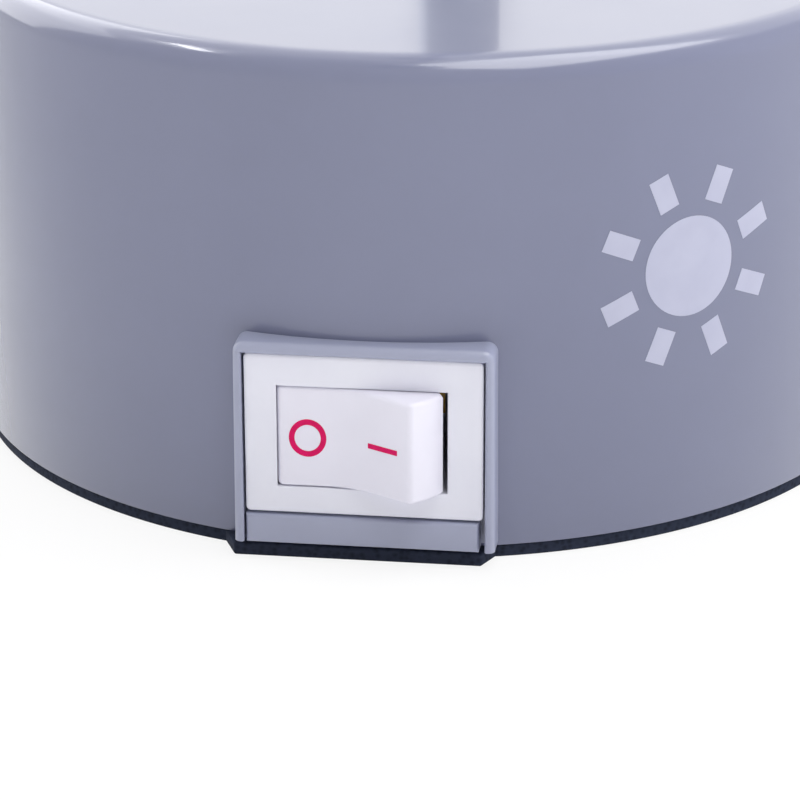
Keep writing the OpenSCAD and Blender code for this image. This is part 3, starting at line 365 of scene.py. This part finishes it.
def across(width, middle=0.0):
    # the two ends of a width
    return middle - width / 2, middle + width / 2


def block(*spans):
    # a box between the two ends given along x, y and z
    size = [high - low for low, high in spans]
    middle = [(low + high) / 2 for low, high in spans]
    bm = bmesh.new()
    bmesh.ops.create_cube(bm, size=1.0)
    return placed(bm, Matrix.Translation(middle) @ Matrix.Diagonal((*size, 1.0)))


def rod(radius, start, end, steps=48):
    bm = bmesh.new()
    reach = Vector(end) - Vector(start)
    bmesh.ops.create_cone(bm, cap_ends=True, segments=steps, radius1=radius, radius2=radius,
                          depth=reach.length)
    turn = reach.to_track_quat("Z", "Y").to_matrix().to_4x4()
    return placed(bm, Matrix.Translation((Vector(start) + Vector(end)) / 2) @ turn)


def arc(centre, radius, start, end, steps):
    # points round a centre, from one angle in degrees to another
    return [(centre[0] + radius * math.cos(math.radians(start + (end - start) * k / steps)),
             centre[1] + radius * math.sin(math.radians(start + (end - start) * k / steps)))
            for k in range(steps + 1)]


def turned(bm, steps):
    # an outline taken once round Z
    bmesh.ops.spin(bm, geom=bm.verts[:] + bm.edges[:], cent=(0, 0, 0), axis=(0, 0, 1), angle=2 * math.pi,
                   steps=steps, use_merge=True, use_duplicate=False)
    bmesh.ops.remove_doubles(bm, verts=bm.verts, dist=weld["made"])
    bmesh.ops.recalc_face_normals(bm, faces=bm.faces)
    return bm


def spun(profile, steps):
    # the profile is (radius, height) pairs, and it is closed unless both its ends lie on the axis
    bm = bmesh.new()
    verts = [bm.verts.new((r, 0, z)) for r, z in profile]
    ends = verts + ([] if profile[0][0] == 0 and profile[-1][0] == 0 else verts[:1])
    for pair in zip(ends, ends[1:]):
        bm.edges.new(pair)
    return turned(bm, steps)


def soften(bm, width, segments=3, angle=30, where=None):
    # rounds the edges that bend by more than an angle in degrees, where their middles pass a test
    bm.normal_update()
    edges = [e for e in bm.edges if len(e.link_faces) == 2 and e.calc_face_angle(0) > math.radians(angle)
             and (where is None or where((e.verts[0].co + e.verts[1].co) / 2))]
    bmesh.ops.bevel(bm, geom=edges, offset=width, offset_type="OFFSET", affect="EDGES", segments=segments,
                    profile=0.5, material=-1, clamp_overlap=True)
    return bm


def thickened(bm, height):
    # gives a flat drawing its thickness
    raised = bmesh.ops.extrude_face_region(bm, geom=bm.faces[:])
    bmesh.ops.translate(bm, vec=(0, 0, height),
                        verts=[v for v in raised["geom"] if isinstance(v, bmesh.types.BMVert)])
    bmesh.ops.recalc_face_normals(bm, faces=bm.faces)
    return bm


def joined(first, *others):
    # puts separate shells into one bmesh
    for other in others:
        mesh = bpy.data.meshes.new("joining")
        other.to_mesh(mesh)
        other.free()
        first.from_mesh(mesh)
        bpy.data.meshes.remove(mesh)
    return first


def carved(body, tool, operation="DIFFERENCE"):
    objects = []
    for bm in (body, tool):
        mesh = bpy.data.meshes.new("carving")
        bm.to_mesh(mesh)
        bm.free()
        objects.append(bpy.data.objects.new("carving", mesh))
        scene.collection.objects.link(objects[-1])
    carve = objects[0].modifiers.new("carve", "BOOLEAN")
    carve.operation, carve.object, carve.solver = operation, objects[1], "EXACT"
    bpy.context.view_layer.update()
    shaped = objects[0].evaluated_get(bpy.context.evaluated_depsgraph_get())
    result = bmesh.new()
    result.from_mesh(shaped.to_mesh())
    shaped.to_mesh_clear()
    for item in objects:
        mesh = item.data
        bpy.data.objects.remove(item)
        bpy.data.meshes.remove(mesh)
    bmesh.ops.remove_doubles(result, verts=result.verts, dist=weld["made"])
    return result


def cadCopy(node):
    # a merged copy of a CAD node, its flat faces whole again
    bm = bmesh.new()
    bm.from_mesh(frame["nodes"][node].data)
    placed(bm, Matrix.Scale(1 / mm, 4))
    bmesh.ops.remove_doubles(bm, verts=bm.verts, dist=weld["cad"])
    bmesh.ops.dissolve_limit(bm, angle_limit=math.radians(0.3), use_dissolve_boundaries=False,
                             verts=bm.verts, edges=bm.edges)
    return bm


def finishPiece(bm, name, body, slot, nodes=(), material=None, crease=32):
    # edges that bend by more than the crease, in degrees, stay sharp to the eye
    bmesh.ops.remove_doubles(bm, verts=bm.verts, dist=weld["finished"])
    bm.normal_update()
    for face in bm.faces:
        face.smooth = True
    for edge in bm.edges:
        edge.smooth = len(edge.link_faces) != 2 or edge.calc_face_angle(0) < math.radians(crease)
    placed(bm, Matrix.Scale(mm, 4))
    mesh = bpy.data.meshes.new(name)
    bm.to_mesh(mesh)
    bm.free()
    mesh.materials.append(finishes[material or slot])
    piece = bpy.data.objects.new(name, mesh)
    scene.collection.objects.link(piece)
    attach(piece, body)
    if nodes:
        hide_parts(*nodes)
    return piece


print("moulding the housing")
lowest, highest = nodeBox("base_housing")
housing = {
    "radius": highest[0], "bottom": lowest[2], "top": highest[2], "wall": 2.2, "roof": 2.6, "rim": 2.4,
    "footEdge": 0.25,
    "bezelWide": 23.15, "bezelTop": 20.6, "bezelFront": lowest[1], "bezelBack": -41.4,
    "bezelCorner": 1.0, "bezelEdge": 0.6, "bezelDraft": 0.12, "bezelLift": 0.58, "standOut": 0.05,
    "pocketWide": 21.4, "pocketTop": 19.6, "mouthEdge": 0.14, "seat": -43.8,
    "slotWide": 19.2, "slotTop": 18.6, "slotFront": -44.3, "slotBack": -37.3,
    # the holes, bosses, pad and grommet's seat are given by their radius
    "stemAt": 26.0, "stemHole": 6.2, "stemDeep": 8.0, "pad": 11.5, "padDeep": 1.4, "padBite": 0.2,
    "cordAt": 11.2, "cordHole": 4.5, "cordFrom": 38.0, "cordTo": 50.0, "grommet": 6.7, "grommetDeep": 0.7,
    "bossAngles": (30, 150, 210, 330), "bossAt": 37.3, "bossSize": 4.0, "bossFoot": 3.2, "bossBite": 0.5,
    "pilot": 1.3, "pilotFrom": 2.0, "pilotTo": 17.2,
    "over": 2.0,  # how far a cutter reaches past a face
}


def drumOutline(radius, low, high, rim):
    # a support ring lies just inside each bend, so that the flats shade flat
    lip = 0.35
    bend = arc((radius - rim, high - rim), rim, 90, 0, 12)
    top, side = (radius - rim - lip, high), (radius, high - rim - lip)
    return [(0, high), top] + bend + [side, (radius, low), (0, low)]


def bossPlaces(h):
    turns = [math.radians(angle) for angle in h["bossAngles"]]
    return [(h["bossAt"] * math.cos(turn), h["bossAt"] * math.sin(turn)) for turn in turns]


def bezelBlock(h):
    # it narrows upwards by its draft, and its corners are rounded before it joins the drum
    low = h["bottom"] + h["bezelLift"]
    bezel = block(across(h["bezelWide"]), (h["bezelFront"], h["bezelBack"]), (low, h["bezelTop"]))
    for vert in bezel.verts:
        if vert.co.z > low + close:
            vert.co.x *= 1 - 2 * h["bezelDraft"] / h["bezelWide"]
    side = h["bezelWide"] / 2 - 2 * h["bezelDraft"]
    soften(bezel, h["bezelCorner"], 8, 60,
           lambda middle: middle.z > h["bezelTop"] - close and abs(middle.x) > side)
    soften(bezel, h["bezelEdge"], 5, 60,
           lambda middle: middle.y < h["bezelFront"] + close and middle.z > low + close)
    return bezel


def mouthBlock(h):
    # it flares forwards, so that the thin front edges inside the bezel are just broken
    broken = h["mouthEdge"]
    mouth = block(across(h["pocketWide"] + 4 * broken), across(2 * broken, h["bezelFront"]),
                  (h["bottom"] - h["over"], h["pocketTop"] + 2 * broken))
    for vert in mouth.verts:
        if vert.co.y > h["bezelFront"]:
            vert.co.x *= h["pocketWide"] / (h["pocketWide"] + 4 * broken)
            vert.co.z -= 2 * broken if vert.co.z > h["pocketTop"] else 0
    return mouth


def makeHousing(h):
    shell = spun(drumOutline(h["radius"], h["bottom"], h["top"], h["rim"]), 256)
    soften(shell, h["footEdge"], 2, 60, lambda middle: middle.z < h["bottom"] + close)
    roof = h["top"] - h["roof"]
    under = h["bottom"] - h["over"]
    shell = carved(shell, spun(drumOutline(h["radius"] - h["wall"], under, roof, h["rim"]), 128))
    shell = carved(shell, bezelBlock(h), "UNION")
    for x, y in bossPlaces(h):
        boss = rod(h["bossSize"], (x, y, h["bossFoot"]), (x, y, roof + h["bossBite"]))
        shell = carved(shell, boss, "UNION")
        shell = carved(shell, rod(h["pilot"], (x, y, h["pilotFrom"]), (x, y, h["pilotTo"]), 32))
    pad = rod(h["pad"], (0, h["stemAt"], roof - h["padDeep"]), (0, h["stemAt"], roof + h["padBite"]))
    shell = carved(shell, pad, "UNION")
    # the pocket takes the switch's frame, and the slot behind it the switch's case
    pocket = block(across(h["pocketWide"]), (h["bezelFront"] - h["over"], h["seat"]),
                   (under, h["pocketTop"]))
    slot = block(across(h["slotWide"]), (h["slotFront"], h["slotBack"]), (under, h["slotTop"]))
    stem = rod(h["stemHole"], (0, h["stemAt"], h["top"] - h["stemDeep"]),
               (0, h["stemAt"], h["top"] + h["over"]), 96)
    outside = (0, h["cordTo"], h["cordAt"])
    cord = rod(h["cordHole"], (0, h["cordFrom"], h["cordAt"]), outside, 64)
    grommet = rod(h["grommet"], (0, h["radius"] - h["grommetDeep"], h["cordAt"]), outside, 64)
    for cutter in (pocket, slot, stem, cord, grommet, mouthBlock(h)):
        shell = carved(shell, cutter)
    piece = finishPiece(shell, "housingShell", "base", "grey_abs", ["base_housing"])
    # whatever stands out of the round wall in front is the bezel, and it takes the trim's finish, painted paler as
    # sheen
    piece.data.materials.append(finishes["grey_abs_trim"])
    for polygon in piece.data.polygons:
        corners = [piece.data.vertices[index].co / mm for index in polygon.vertices]
        if any(c.y < 0 and c.xy.length > h["radius"] + h["standOut"] for c in corners):
            polygon.material_index = 1


makeHousing(housing)

sill = {
    "wide": 20.7, "off": -0.2, "front": -45.98, "back": -43.8, "low": 1.7, "top": 4.45, "edge": 0.36,
    "tongueWide": 18.8, "tongueDeep": 2.4,
    "heelWide": 15.2, "heelFront": -41.7, "heelBack": -36.5, "heelLow": 3.2, "heelTop": 5.4,
}


def makeSill(s):
    strip = block(across(s["wide"], s["off"]), (s["front"], s["back"]), (s["low"], s["top"]))
    soften(strip, s["edge"], 4, 60, lambda middle: middle.y < s["front"] + close)
    tongue = block(across(s["tongueWide"]), (s["back"], s["back"] + s["tongueDeep"]),
                   (housing["bottom"], s["top"]))
    heel = block(across(s["heelWide"]), (s["heelFront"], s["heelBack"]), (s["heelLow"], s["heelTop"]))
    # the strip takes the trim's finish too, painted paler as sheen
    finishPiece(joined(strip, tongue, heel), "sillStrip", "base", "grey_abs", ["switch_sill"],
                "grey_abs_trim")


makeSill(sill)

lowest, highest = nodeBox("foot_pad")
foot = {
    "radius": highest[1], "thick": highest[2], "edge": 0.4,
    "screwHole": 3.9, "screwFrom": -1.0, "screwTo": 3.0,
    "tabWide": 22.1, "tabRoot": 25.3, "tabFront": lowest[1], "tabDeep": 3.5, "tabOff": -0.75,
}


def makeFoot(f):
    pad = rod(f["radius"], (0, 0, 0), (0, 0, f["thick"]), 256)
    tab = block(across(f["tabRoot"]), (f["tabFront"], f["tabFront"] + f["tabDeep"]), (0, f["thick"]))
    for vert in tab.verts:
        if vert.co.y < f["tabFront"] + close:
            vert.co.x *= f["tabWide"] / f["tabRoot"]
        vert.co.x += f["tabOff"]
    pad = carved(pad, tab, "UNION")
    soften(pad, f["edge"], 4, 60)
    for x, y in bossPlaces(housing):
        pad = carved(pad, rod(f["screwHole"], (x, y, f["screwFrom"]), (x, y, f["screwTo"])))
    finishPiece(pad, "footPad", "base", "foam", ["foot_pad"])


makeFoot(foot)

print("fitting the switch")
lowest, highest = nodeBox("switch_frame")
pivot = jointPlace("rocker_tilt")
switch = {
    "z": (lowest[2] + highest[2]) / 2, "front": lowest[1],
    "pivotX": pivot[0], "pivot": pivot[1], "pivotZ": 11.88,
    "wide": 21.0, "high": 14.78, "thick": 2.0, "corner": 0.4, "edgeWide": 1.3, "edgeDeep": 0.42,
    "bodyWide": 18.6, "bodyHigh": 12.6, "bodyDeep": 12.6, "bodyBite": 0.5, "bodyEdge": 0.3,
    "windowWide": 14.95, "windowHigh": 9.46, "windowOff": 0.06, "windowEdge": 0.14,
    "cavityWide": 15.4, "cavityDeep": 11.6,
    "rampAt": -39.3, "rampSize": 4.0, "rampThick": 0.55, "rampOut": 0.27, "rampLow": 0.02,
    "tilt": 14.5, "keyRadius": 8.072, "keyHigh": 9.36, "keyEdge": 0.4, "keyTip": 0.7, "valleyBlend": 9.0,
    "keyEnd": 12.5, "keyRoot": (6.8, 0.4), "barrel": 2.6, "barrelBack": -3.6, "barrelFront": 0.6,
    "pin": 1.2, "pinOut": 0.9,
}
# the key's two faces meet in a valley, straight out from the pivot
switch["slope"] = math.radians(switch["tilt"])
switch["valley"] = (switch["pivot"] - switch["front"]) / math.cos(switch["slope"])


def makeSwitchBody(s):
    # the front edge is a low, wide round: it is rolled on a block drawn deeper, then flattened
    flatten = s["edgeDeep"] / s["edgeWide"]
    flange = block(across(s["wide"]), (0, s["thick"] / flatten), across(s["high"], s["z"]))
    soften(flange, s["corner"], 6, 60, lambda middle: abs(middle.x) > s["wide"] / 2 - close
           and abs(abs(middle.z - s["z"]) - s["high"] / 2) < close)
    soften(flange, s["edgeWide"], 8, 60, lambda middle: middle.y < close)
    placed(flange, Matrix.Translation((0, s["front"], 0)) @ Matrix.Diagonal((1, flatten, 1, 1)))
    back = s["front"] + s["thick"]
    case = block(across(s["bodyWide"]), (back - s["bodyBite"], back + s["bodyDeep"]),
                 across(s["bodyHigh"], s["z"]))
    soften(case, s["bodyEdge"], 2, 60)
    body = carved(flange, case, "UNION")
    # the well is round about the pivot, so that the key can turn in it
    wellAt = s["pivotX"] + s["windowOff"]
    low, high = across(s["windowHigh"], s["pivotZ"])
    well = rod(math.hypot(s["windowWide"] / 2, s["pivot"] - s["front"]), (wellAt, s["pivot"], low),
               (wellAt, s["pivot"], high), 128)
    cavity = block(across(s["cavityWide"], s["pivotX"]), (back, back + s["cavityDeep"]), (low, high))
    body = carved(carved(body, well), cavity)
    soften(body, s["windowEdge"], 3, 55, lambda middle: middle.y < s["front"] + close
           and abs(middle.x - wellAt) < s["windowWide"] / 2 + close
           and abs(middle.z - s["pivotZ"]) < s["windowHigh"] / 2 + close)
    # a ramp on each side of the case holds it in the slot
    wall = s["bodyWide"] / 2
    for side in (-1, 1):
        ramp = block(across(s["rampThick"], side * (wall + s["rampOut"])),
                     across(s["rampSize"], s["rampAt"]), across(s["rampSize"], s["z"]))
        for vert in ramp.verts:
            if vert.co.y > s["rampAt"] and abs(vert.co.x) > wall + s["rampOut"]:
                vert.co.x = side * (wall + s["rampLow"])
        body = joined(body, ramp)
    finishPiece(body, "switchBody", "base", "switch_white", ["switch_frame"])


def keyMatrix(s):
    # from the key's own level frame (x along it, y outwards, z up) to its place with the left half pressed
    flip = Matrix.Scale(-1, 4, (0, 1, 0))
    place = Matrix.Translation((s["pivotX"], s["pivot"], s["pivotZ"]))
    return place @ flip @ Matrix.Rotation(s["slope"], 4, "Z")


def makeKey(s):
    # half the key's outline from the valley to the tip: hollow blend, flat face, rounded tip, round end
    slope, valley = s["slope"], s["valley"]
    blend, tip, reach = s["valleyBlend"], s["keyTip"], s["keyRadius"]
    hollow = arc((0, valley + blend / math.cos(slope)), blend, -90, -90 + s["tilt"], 6)
    drop = valley - tip / math.cos(slope)
    inside = math.sqrt((reach - tip) ** 2 - (drop * math.cos(slope)) ** 2)
    along = (inside - drop * math.sin(slope)) * math.cos(slope)
    middle = (along, drop + along * math.tan(slope))
    lean = math.degrees(math.atan2(middle[1], middle[0]))
    nose = arc(middle, tip, 90 + s["tilt"], lean, 8)
    end = arc((0, 0), reach, lean, s["keyEnd"], 12)
    half = hollow + nose + end[1:] + [s["keyRoot"]]
    outline = [(-x, y) for x, y in reversed(half[1:])] + half
    key = bmesh.new()
    key.faces.new([key.verts.new((x, y, -s["keyHigh"] / 2)) for x, y in outline])
    thickened(key, s["keyHigh"])
    soften(key, s["keyEdge"], 5, 60, lambda middle: middle.y > s["keyRoot"][1] + close
           and abs(middle.z) > s["keyHigh"] / 2 - close)
    # barrel behind the key, and the trunnions it turns on
    pin = s["keyHigh"] / 2 + s["pinOut"]
    key = joined(key, rod(s["barrel"], (0, s["barrelBack"], 0), (0, s["barrelFront"], 0)),
                 rod(s["pin"], (0, 0, -pin), (0, 0, pin), 32))
    placed(key, keyMatrix(s))
    bmesh.ops.reverse_faces(key, faces=key.faces)
    finishPiece(key, "rockerKey", "rocker", "rocker_white", ["switch_rocker"])


marks = {
    "ringAt": 3.7, "ringOuter": 1.66, "ringTall": 1.06, "ringLine": 0.5, "ringDrop": 0.04,
    "barFrom": 1.75, "barTo": 4.9, "barLine": 0.48, "barDrop": 0.12, "ink": 0.02, "lift": 0.001,
}


def ringDrawing(m):
    ring = bmesh.new()
    bmesh.ops.create_circle(ring, radius=m["ringOuter"] - m["ringLine"], segments=96)
    grown = bmesh.ops.extrude_edge_only(ring, edges=ring.edges[:])
    for vert in [v for v in grown["geom"] if isinstance(v, bmesh.types.BMVert)]:
        vert.co.xy = vert.co.xy.normalized() * m["ringOuter"]
    stretch = Matrix.Diagonal((1, m["ringTall"], 1, 1))
    return placed(ring, Matrix.Translation((0, -m["ringDrop"], 0)) @ stretch)


def barDrawing(long, wide):
    bar = bmesh.new()
    bmesh.ops.create_grid(bar, x_segments=1, y_segments=1, size=0.5)
    return placed(bar, Matrix.Diagonal((long, wide, 1, 1)))


def makeMark(s, m, name, drawing, along):
    # a skin of ink on one face of the key, left of the valley where along is below nought
    side = math.copysign(1, along)
    # the drawing's x runs along the key, its y up the key, its thickness outwards
    standing = Matrix(((1, 0, 0, 0), (0, 0, 1, 0), (0, 1, 0, 0), (0, 0, 0, 1)))
    outwards = s["valley"] + abs(along) * math.tan(s["slope"]) + m["lift"]
    place = Matrix.Translation((along, outwards, 0)) @ Matrix.Rotation(side * s["slope"], 4, "Z") @ standing
    mark = placed(thickened(drawing, m["ink"]), keyMatrix(s) @ place)
    bmesh.ops.recalc_face_normals(mark, faces=mark.faces)
    finishPiece(mark, name, "rocker", "rocker_white", material="ink_red")


makeSwitchBody(switch)
makeKey(switch)
makeMark(switch, marks, "offRing", ringDrawing(marks), -marks["ringAt"])
onBar = placed(barDrawing(marks["barTo"] - marks["barFrom"], marks["barLine"]),
               Matrix.Translation((0, -marks["barDrop"], 0)))
makeMark(switch, marks, "onBar", onBar, (marks["barFrom"] + marks["barTo"]) / 2)

# a plain sign for light, a disc with rays, is printed on the wall
wallMark = {
    "turn": 38.2, "height": 25.4, "disc": 4.6, "rayFrom": 6.0, "rayTo": 9.2, "rayWide": 2.0, "rays": 8,
    "strip": 0.5, "ink": 0.02, "lift": 0.002,
}


def makeWallMark(w):
    sign = bmesh.new()
    bmesh.ops.create_circle(sign, cap_ends=True, radius=w["disc"], segments=64)
    for k in range(w["rays"]):
        outwards = Matrix.Translation(((w["rayFrom"] + w["rayTo"]) / 2, 0, 0))
        turn = Matrix.Rotation(2 * math.pi * (k + 0.5) / w["rays"], 4, "Z")
        sign = joined(sign, placed(barDrawing(w["rayTo"] - w["rayFrom"], w["rayWide"]), turn @ outwards))
    # it is cut into narrow strips, so that the print follows the round wall
    strips = math.ceil(w["rayTo"] / w["strip"])
    for k in range(-strips, strips + 1):
        bmesh.ops.bisect_plane(sign, geom=sign.verts[:] + sign.edges[:] + sign.faces[:],
                               plane_co=(k * w["strip"], 0, 0), plane_no=(1, 0, 0))
    thickened(sign, w["ink"])
    for vert in sign.verts:
        angle = vert.co.x / housing["radius"] + math.radians(w["turn"])
        reach = housing["radius"] + vert.co.z + w["lift"]
        vert.co = (reach * math.sin(angle), -reach * math.cos(angle), w["height"] + vert.co.y)
    bmesh.ops.recalc_face_normals(sign, faces=sign.faces)
    finishPiece(sign, "wallMark", "base", "grey_abs", material="ink_pale")


makeWallMark(wallMark)

print("turning the stem, arm and joints")
# node: body, slot, softened edge in mm, material where it isn't the slot's own
turnedParts = {
    "stem_socket": ("base", "satin_fitting", 0.35, None),
    "stem_tube": ("stem", "satin_tube", 0.1, None),
    "stem_shoulder": ("stem", "satin_fitting", 0.2, None),
    "elbow_fork": ("stem", "satin_fitting", 0.35, None),
    "elbow_bolt": ("stem", "joint_bolt", 0.2, None),
    "elbow_washers": ("stem", "washer_nylon", 0.08, None),
    "elbow_knob": ("knob", "knob_plastic", 0.3, None),
    "arm_knuckle": ("arm", "satin_fitting", 0.3, None),
    "arm_tube": ("arm", "satin_tube", 0.1, "satin_arm"),
    "arm_fork": ("arm", "satin_fitting", 0.35, None),
    "head_bolt": ("arm", "joint_bolt", 0.2, None),
    "head_nut": ("arm", "joint_bolt", 0.2, None),
    "head_washers": ("arm", "washer_nylon", 0.08, None),
    "head_knuckle": ("head", "satin_fitting", 0.3, None),
    "shade_screws": ("head", "zinc_steel", 0.1, None),
    "lamp_holder": ("head", "ceramic", 0.25, None),
    "front_glass": ("head", "front_glass", 0.25, None),
    "glass_ring": ("head", "spring_steel", 0.1, None),
    "lamp_capsule": ("head", "capsule_glass", 0.15, None),
    "cord_grommet": ("base", "grommet_pvc", 0.2, None),
}
for node, (body, slotName, width, special) in turnedParts.items():
    words = node.split("_")
    name = words[0] + "".join(word.capitalize() for word in words[1:])
    finishPiece(soften(cadCopy(node), width, 3, 40), name, body, slotName, [node], special)

print("spinning the shade")
shade = {
    "place": (0, -122.3352, 314.8712),  # the head's pin
    "tip": -12.0,  # degrees; at rest the mouth points this far forwards of straight down
    "back": 15.0, "long": 58.0, "neck": 14.0, "mouth": 31.0, "wall": 1.2, "lip": 0.96, "backEdge": 0.8,
    "slots": 10, "slotWide": 2.2, "slotHigh": 9.0, "slotDown": 4.0, "slotFrom": 11.0, "slotTo": 25.0,
}
headMatrix = Matrix.Translation(shade["place"]) @ Matrix.Rotation(math.radians(shade["tip"]), 4, "X")


def shadeRadius(h, depth):
    along = min(1, max(0, (depth - h["back"]) / h["long"]))
    return h["neck"] + (h["mouth"] - h["neck"]) * math.sin(math.pi / 2 * along)


def shadeLip(h):
    # the lip is rolled round a wire
    lip = bmesh.new()
    bmesh.ops.create_circle(lip, radius=h["lip"], segments=20)
    placed(lip, Matrix.Translation((h["mouth"] - h["wall"] / 2, 0, -h["back"] - h["long"]))
           @ Matrix.Rotation(math.pi / 2, 4, "X"))
    return turned(lip, 128)


def coolingSlot(h):
    high = -h["back"] - h["slotDown"] - h["slotWide"] / 2
    low = high - h["slotHigh"] + h["slotWide"]
    slot = block((h["slotFrom"], h["slotTo"]), across(h["slotWide"]), (low, high))
    for z in (low, high):
        slot = carved(slot, rod(h["slotWide"] / 2, (h["slotFrom"], 0, z), (h["slotTo"], 0, z), 24), "UNION")
    return slot


def makeShade(h):
    steps = 40
    depths = [h["back"] + h["long"] * k / steps for k in range(steps + 1)]
    outer = [(0, -h["back"])] + [(shadeRadius(h, d), -d) for d in depths]
    inner = [(shadeRadius(h, d) - h["wall"], -max(d, h["back"] + h["wall"])) for d in reversed(depths)]
    shell = spun(outer + inner + [(0, -h["back"] - h["wall"])], 128)
    shell = carved(shell, shadeLip(h), "UNION")
    soften(shell, h["backEdge"], 4, 60, lambda middle: abs(middle.z + h["back"]) < close)
    for k in range(h["slots"]):
        turn = Matrix.Rotation(math.radians(360 / h["slots"] * (k + 0.5)), 4, "Z")
        shell = carved(shell, placed(coolingSlot(h), turn))
    placed(shell, headMatrix)
    piece = finishPiece(shell, "shadeShell", "head", "shade_lacquer", ["shade"])
    # faces that look inwards are enamelled white; on the level faces at the back, rounding decides
    piece.data.materials.append(finishes["shade_inner"])
    undo = (Matrix.Scale(mm, 4) @ headMatrix).inverted()
    turnBack = headMatrix.to_3x3().inverted()
    for polygon in piece.data.polygons:
        middle, facing = undo @ polygon.center, turnBack @ polygon.normal
        if facing.xy.dot(middle.xy) < 0 and middle.xy.length < shadeRadius(h, -middle.z) - h["wall"] / 2:
            polygon.material_index = 1


reflector = {
    "top": 34.0, "rim": 66.3, "throat": 6.5, "rings": 10, "facets": 36, "fitAt": 66.0, "gap": 0.15,
    "flange": 2.4, "flangeInner": 3.0, "flangeThick": 0.6, "thinIn": 0.75, "thinDown": 0.35,
}


def makeReflector(r):
    # a bowl of small flat facets, as pressed into a bright reflector
    edge = shadeRadius(shade, r["fitAt"]) - shade["wall"] - r["gap"]
    reach, deep = edge - r["flange"] - r["throat"], r["rim"] - r["top"]
    bowl = [(r["throat"] + reach * math.sqrt(k / r["rings"]), -r["top"] - deep * k / r["rings"])
            for k in range(r["rings"] + 1)]
    below = -r["rim"] - r["flangeThick"]
    flange = [(edge, -r["rim"]), (edge, below), (edge - r["flangeInner"], below)]
    inside = [(x - r["thinIn"], z - r["thinDown"]) for x, z in reversed(bowl)]
    bm = placed(spun(bowl + flange + inside, r["facets"]), headMatrix)
    finishPiece(bm, "reflectorBowl", "head", "bright_reflector", ["reflector"], crease=4)


filament = {
    "radius": 0.55, "wire": 0.12, "turns": 9, "long": 5.0, "depth": 43.0,
    "leg": 0.2, "legTop": 2.0, "legFoot": 2.45, "legLong": 8.0,
}


def makeFilament(f):
    steps = 24 * f["turns"]
    wire = bmesh.new()
    bmesh.ops.create_circle(wire, radius=f["wire"], segments=8)
    placed(wire, Matrix.Translation((f["radius"], 0, -f["long"] / 2))
           @ Matrix.Rotation(math.pi / 2, 4, "X"))
    bmesh.ops.spin(wire, geom=wire.verts[:] + wire.edges[:], cent=(0, 0, 0), axis=(0, 0, 1),
                   dvec=(0, 0, f["long"] / steps), angle=2 * math.pi * f["turns"], steps=steps,
                   use_merge=False, use_duplicate=False)
    bmesh.ops.holes_fill(wire, edges=[e for e in wire.edges if e.is_boundary], sides=12)
    bmesh.ops.recalc_face_normals(wire, faces=wire.faces)
    placed(wire, Matrix.Translation((0, 0, -f["depth"])) @ Matrix.Rotation(math.pi / 2, 4, "Y"))
    top = f["legLong"] - f["depth"]
    legs = [rod(f["leg"], (side * f["legTop"], 0, top), (side * f["legFoot"], 0, -f["depth"]), 12)
            for side in (-1, 1)]
    bm = placed(joined(wire, *legs), headMatrix)
    finishPiece(bm, "filament", "head", "pin_metal", material="tungsten", crease=60)


makeShade(shade)
makeReflector(reflector)
makeFilament(filament)

print("dressing the remaining nodes")
# a node that no piece replaces keeps the CAD's own shape, in its slot's finish
slotOf = {row["node"]: row["material_slot"] for row in frame["record"]["subparts"]}
for node, item in frame["nodes"].items():
    item.data.materials.clear()
    item.data.materials.append(finishes[slotOf[node]])

print("done")
